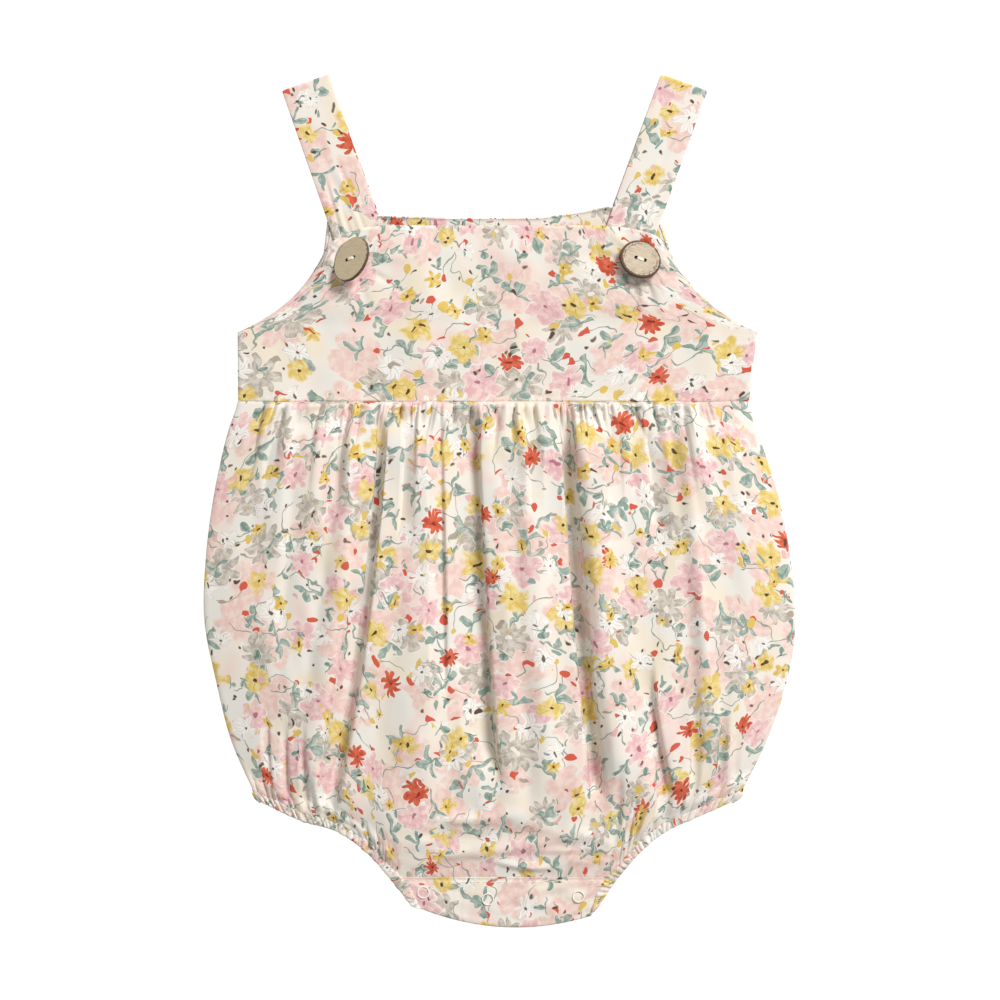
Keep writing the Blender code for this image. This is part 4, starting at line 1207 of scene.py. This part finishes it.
def shell_cracks(n, button, face, radius, share):
    """Fine cracks towards the rim, and a split along it. share is how strong both are."""
    shift = n("TexNoise", {"Vector": face, "Scale": 0.5, "Detail": 3.0}).outputs["Color"]
    crazed = n("VectorMath", (face, shift), operation="ADD")
    crazed = n("VectorMath", (crazed, (0.45, 1.1, 1.0)), operation="MULTIPLY")
    crack = n("TexNoise", {"Vector": crazed, "Scale": 0.34, "Detail": 4.0, "Roughness": 0.65})
    crack = n("Math", (n("Math", (crack, 0.5), operation="SUBTRACT"),), operation="ABSOLUTE")
    crack = n("MapRange", {"Value": crack, "From Min": 0.016, "From Max": 0.004})
    outer = n("MapRange", {
        "Value": radius, "From Min": button.radius * 0.42, "From Max": button.radius * 0.72,
        "To Max": 0.6 * share,
    })
    crack = n("Math", (crack, outer), operation="MULTIPLY")
    way = math.radians(-52 - button.holes)
    split = n("VectorMath", (face, (math.cos(way), math.sin(way), 0.0)), operation="DOT_PRODUCT")
    split = n("Math", (split.outputs["Value"],), operation="ABSOLUTE")
    split = n("MapRange", {
        "Value": split, "From Min": 0.45 * button.radius, "From Max": 0.65 * button.radius,
        "To Max": share,
    })
    flake = n("TexNoise", {"Vector": face, "Scale": 0.55, "Detail": 4.0, "Roughness": 0.6})
    flake = n("Math", (flake, 5.0, 0.80 * button.radius - 2.5), operation="MULTIPLY_ADD")
    flake = n("Math", (n("Math", (radius, flake), operation="SUBTRACT"),), operation="ABSOLUTE")
    flake = n("MapRange", {"Value": flake, "From Min": 0.3, "From Max": 0.08})
    flake = n("Math", (flake, split), operation="MULTIPLY")
    return n("Math", (crack, flake), operation="MAXIMUM")


def shell_bark(n, button, face, radius, rough, bearing, width):
    """1 on the bark: width millimetres of it on the side of bearing, and half of that opposite."""
    way = math.radians(bearing - button.holes)
    toward = n("VectorMath", (face, (math.cos(way), math.sin(way), 0.0)), operation="DOT_PRODUCT")
    reach = n("MapRange", {
        "Value": toward.outputs["Value"], "From Min": -button.radius, "From Max": button.radius,
        "To Min": width / 2, "To Max": width,
    })
    torn = n("Math", (rough, 1.6, -0.8), operation="MULTIPLY_ADD")
    torn = n("Math", (torn, reach), operation="ADD")
    inwards = n("Math", (button.radius, radius), operation="SUBTRACT")
    inside = n("Math", (torn, inwards), operation="SUBTRACT")
    return n("MapRange", {"Value": inside, "From Min": -0.15, "From Max": 0.15})


def painted_hole_shade(n, axes):
    """1 inside the two holes, below the face, where the walls get painted shade."""
    aside = n("Math", (n("Math", (axes[0],), operation="ABSOLUTE"), HOLE_OFFSET), operation="SUBTRACT")
    away = n("VectorMath", (n("CombineXYZ", (aside, axes[1])),), operation="LENGTH").outputs["Value"]
    below = n("Math", (axes[2], -0.15), operation="LESS_THAN")
    return n("Math", (n("Math", (away, 1.1), operation="LESS_THAN"), below), operation="MULTIPLY")


def coconut_shell(button, pale, brown, bark_bearing, bark_width, cracks):
    """Coconut shell: sanded to a dull face, with short fibres, fine cracks and bark along the rim, and
    painted shade in the thread holes.
    """
    material, n = new_material("coconut_shell_" + button.side)
    axes = button_axes(n, button)
    face = n("CombineXYZ", axes)
    to_low = {"Vector": face, "Angle": math.radians(button.holes - button.low_edge)}
    round_face = n("VectorRotate", to_low, rotation_type="Z_AXIS")
    round_face = n("VectorMath", (round_face, (1 / button.narrow, 1.0, 0.0)), operation="MULTIPLY")
    radius = n("VectorMath", (round_face,), operation="LENGTH").outputs["Value"]

    grain, colour = shell_fibres(n, face, pale, brown)
    crack = shell_cracks(n, button, face, radius, cracks)
    colour = n("MixRGB", (crack, colour, linear("#553E2C")))
    rough = n("TexNoise", {"Vector": face, "Scale": 1.0, "Detail": 4.0, "Roughness": 0.7})
    bark = shell_bark(n, button, face, radius, rough, bark_bearing, bark_width)
    bark_colour = n("MixRGB", (rough, linear("#33231A"), linear("#6E533C")))
    colour = n("MixRGB", (bark, colour, bark_colour))
    # Painted shade: the walls of the thread holes are coloured near black, as if in their own shadow.
    colour = n("MixRGB", (painted_hole_shade(n, axes), colour, linear("#120B07")))
    height = n("Math", (grain, crack), operation="SUBTRACT")
    bump = n("Bump", {"Height": height, "Strength": 0.3, "Distance": 0.25 * MM})
    surface = n("BsdfPrincipled", {
        "Base Color": colour, "Roughness": 0.62, "Specular IOR Level": 0.35, "Normal": bump,
    })
    n("OutputMaterial", {"Surface": surface.outputs["BSDF"]})
    return material


def cotton_thread():
    """Sewing thread: three-ply twisted cotton in cream, with the twist as fine slanting ridges and painted
    shade in the grooves between them.
    """
    material, n = new_material("twisted_cotton_thread")
    solid = n("TexCoord").outputs["Object"]
    twist = n("TexWave", {"Vector": solid, "Scale": BAND_PERIOD / (0.3 * MM), "Distortion": 0.6},
              wave_type="BANDS", bands_direction="DIAGONAL")
    # Painted shade: the cream is darker in the twist's grooves and lighter on its ridges.
    colour = n("MixRGB", (twist.outputs["Fac"], linear("#E2D6C2"), linear("#F6EFE2")))
    bump = n("Bump", {"Height": twist.outputs["Fac"], "Strength": 0.4, "Distance": 0.08 * MM})
    surface = n("BsdfPrincipled", {
        "Base Color": colour, "Roughness": 0.7, "Sheen Weight": 0.3, "Normal": bump,
    })
    n("OutputMaterial", {"Surface": surface.outputs["BSDF"]})
    return material


def white_enamel():
    """Press snaps: metal rings stoved with white enamel, glossy with a faint orange-peel."""
    material, n = new_material("stoved_white_enamel")
    solid = n("TexCoord").outputs["Object"]
    peel = n("TexNoise", {"Vector": solid, "Scale": 1 / (1.2 * MM), "Detail": 2.0})
    tone = n("MixRGB", (peel, linear("#F8F6F1"), linear("#EAE7E0")))
    bump = n("Bump", {"Height": peel, "Strength": 0.1, "Distance": 0.1 * MM})
    surface = n("BsdfPrincipled", {
        "Base Color": tone, "Roughness": 0.28, "Coat Weight": 0.4, "Normal": bump,
    })
    n("OutputMaterial", {"Surface": surface.outputs["BSDF"]})
    return material


shells = {
    "left": coconut_shell(BUTTONS[0], "#C6B89B", "#B8A889", -30.0, 0.35, 0.0),
    "right": coconut_shell(BUTTONS[1], "#C9B9A4", "#B5A48B", 215.0, 1.4, 0.9),
}
thread, enamel = cotton_thread(), white_enamel()
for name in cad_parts:
    kept = bpy.data.objects.get(name)
    if name.startswith("button_"):
        kept.material_slots[0].material = shells[name.removeprefix("button_")]
    elif name.startswith("snap_"):
        kept.material_slots[0].material = enamel
print("materials:", len(bpy.data.materials))

# %% [markdown]
# Every thread is a round cord along its own short path. On a button, five strands cross from hole to
# hole and dip into both. In a row of stitches, each stitch is an arch that goes down into the cloth
# at both ends.

# %% Threads
def cord_piece(name, paths, radius):
    """Cords along paths in millimetres, as one piece."""
    curve = bpy.data.curves.new(name, "CURVE")
    curve.dimensions = "3D"
    curve.bevel_depth = radius * MM
    curve.bevel_resolution = 1
    for path in paths:
        spline = curve.splines.new("POLY")
        spline.points.add(len(path) - 1)
        for point, spot in zip(spline.points, path):
            point.co = (*(Vector(spot) * MM), 1.0)
    piece = bpy.data.objects.new(name, curve)
    piece.data.materials.append(thread)
    bpy.context.scene.collection.objects.link(piece)
    return piece


STRANDS, STRAND_STEPS, STRAND_REACH, STRAND_RADIUS, STITCH_RADIUS = 5, 12, 1.75, 0.19, 0.11


def button_thread(button, seed):
    """The strands of thread that cross a button from hole to hole."""
    chance = random.Random(seed)
    place = button_place(button)
    paths = []
    for strand in range(STRANDS):
        from_middle = strand - STRANDS // 2
        aside = from_middle * 0.27
        rise = 0.34 - 0.05 * abs(from_middle) + chance.uniform(-0.05, 0.05)
        path = []
        for step in range(STRAND_STEPS + 1):
            share = step / STRAND_STEPS * 2 - 1
            down = -1.8 * max(0.0, abs(share) - 0.75) / 0.25
            spread = aside * (1 - 0.45 * abs(share))
            height = BUTTON_FACE + rise * (1 - share * share) + down
            path.append(place @ Vector((share * STRAND_REACH, spread, height)))
        paths.append(path)
    return cord_piece("button_thread_" + button.side, paths, STRAND_RADIUS)


def level_line(rows, share):
    """The line of points at a share of the way up a piece whose rows crowd at both edges."""
    number = np.interp(share, crowded(0, 1, len(rows) - 1, 0.6), np.arange(len(rows)))
    below, part = int(number), number - int(number)
    return rows[below] * (1 - part) + rows[below + 1] * part


def stitch_row(name, line, length, gap, stand):
    """A row of stitches along a line of points, each arched over the cloth."""
    steps = np.linalg.norm(np.diff(line, axis=0), axis=1)
    run = np.concatenate([[0.0], np.cumsum(steps)])

    def spot(at, lift):
        x, y, z = (float(np.interp(at, run, axis)) for axis in line.T)
        return x, y, z + lift

    paths, start = [], gap
    arch = ((0.0, -0.1), (0.15, stand), (0.85, stand), (1.0, -0.1))
    while start + length < run[-1]:
        paths.append([spot(start + share * length, lift) for share, lift in arch])
        start += length + gap
    return cord_piece(name, paths, STITCH_RADIUS)


threads = {}
for number, button in enumerate(BUTTONS):
    threads["button_" + button.side] = button_thread(button, 40 + number)
top_line = level_line(placket_rows, 0.86)   # about 3 mm below the placket's upper edge
threads["placket"] = stitch_row("placket_stitches", top_line[3:-3], 2.2, 0.9, 0.12)
for side, rows in casing_rows.items():
    line = rows[6:CASING_STEPS - 8, 10]     # on top of the front run, clear of both ends
    threads["casing_" + side] = stitch_row("casing_stitches_" + side, line, 1.3, 0.7, 0.06)
print("stitches:", [len(piece.data.splines) for piece in threads.values()])

# %% [markdown]
# ## Cuts and rides
#
# Each piece stands in for its plain solid, which is hidden, and hangs with the stitches from one root.
# Each row lists the solid's finish, how the piece is held, the size it was cut to, in millimetres, and
# its area in square centimetres, without seam allowances, then what it lies on and its stitches. The
# panels are gathered. A strap or a casing is a strip that was folded into a tube, so its cut is all
# round that tube.

# %% Cuts and rides
Cut = namedtuple("Cut", "piece node finish held width length area on threads", defaults=((),))
CUTS = [
    Cut(front_bubble, "front_bubble", "front_poplin", "gathered", 295, 218, 570, ["back_bubble"]),
    Cut(back_bubble, "back_bubble", "back_poplin", "gathered", 270, 215, 500, []),
    Cut(front_yoke, "front_yoke", "front_poplin", "laid", 224, 78, 155,
        ["back_yoke", "strap_left", "strap_right"]),
    Cut(back_yoke, "back_yoke", "back_poplin", "laid", 224, 86, 162, []),
]
for side, length, area in (("left", 155, 69), ("right", 153, 68)):
    CUTS.append(Cut(
        straps[side], "strap_" + side, "trim_poplin", "folded", 45, length, area, ["back_yoke"]
    ))
for side, length, area in (("left", 186, 22), ("right", 176, 21)):
    CUTS.append(Cut(
        casings[side], "leg_casing_" + side, "trim_poplin", "gathered", 13, length, area,
        ["back_bubble"], [threads["casing_" + side]],
    ))
CUTS += [
    Cut(front_placket, "front_crotch_placket", "front_poplin", "laid", 85, 24, 18,
        ["snap_stud_middle"], [threads["placket"]]),
    Cut(back_placket, "back_crotch_placket", "back_poplin", "laid", 84, 24, 18, []),
]
for cut in CUTS:
    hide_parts(cut.node)
    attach(cut.piece, "root")

for piece in threads.values():
    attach(piece, "root")
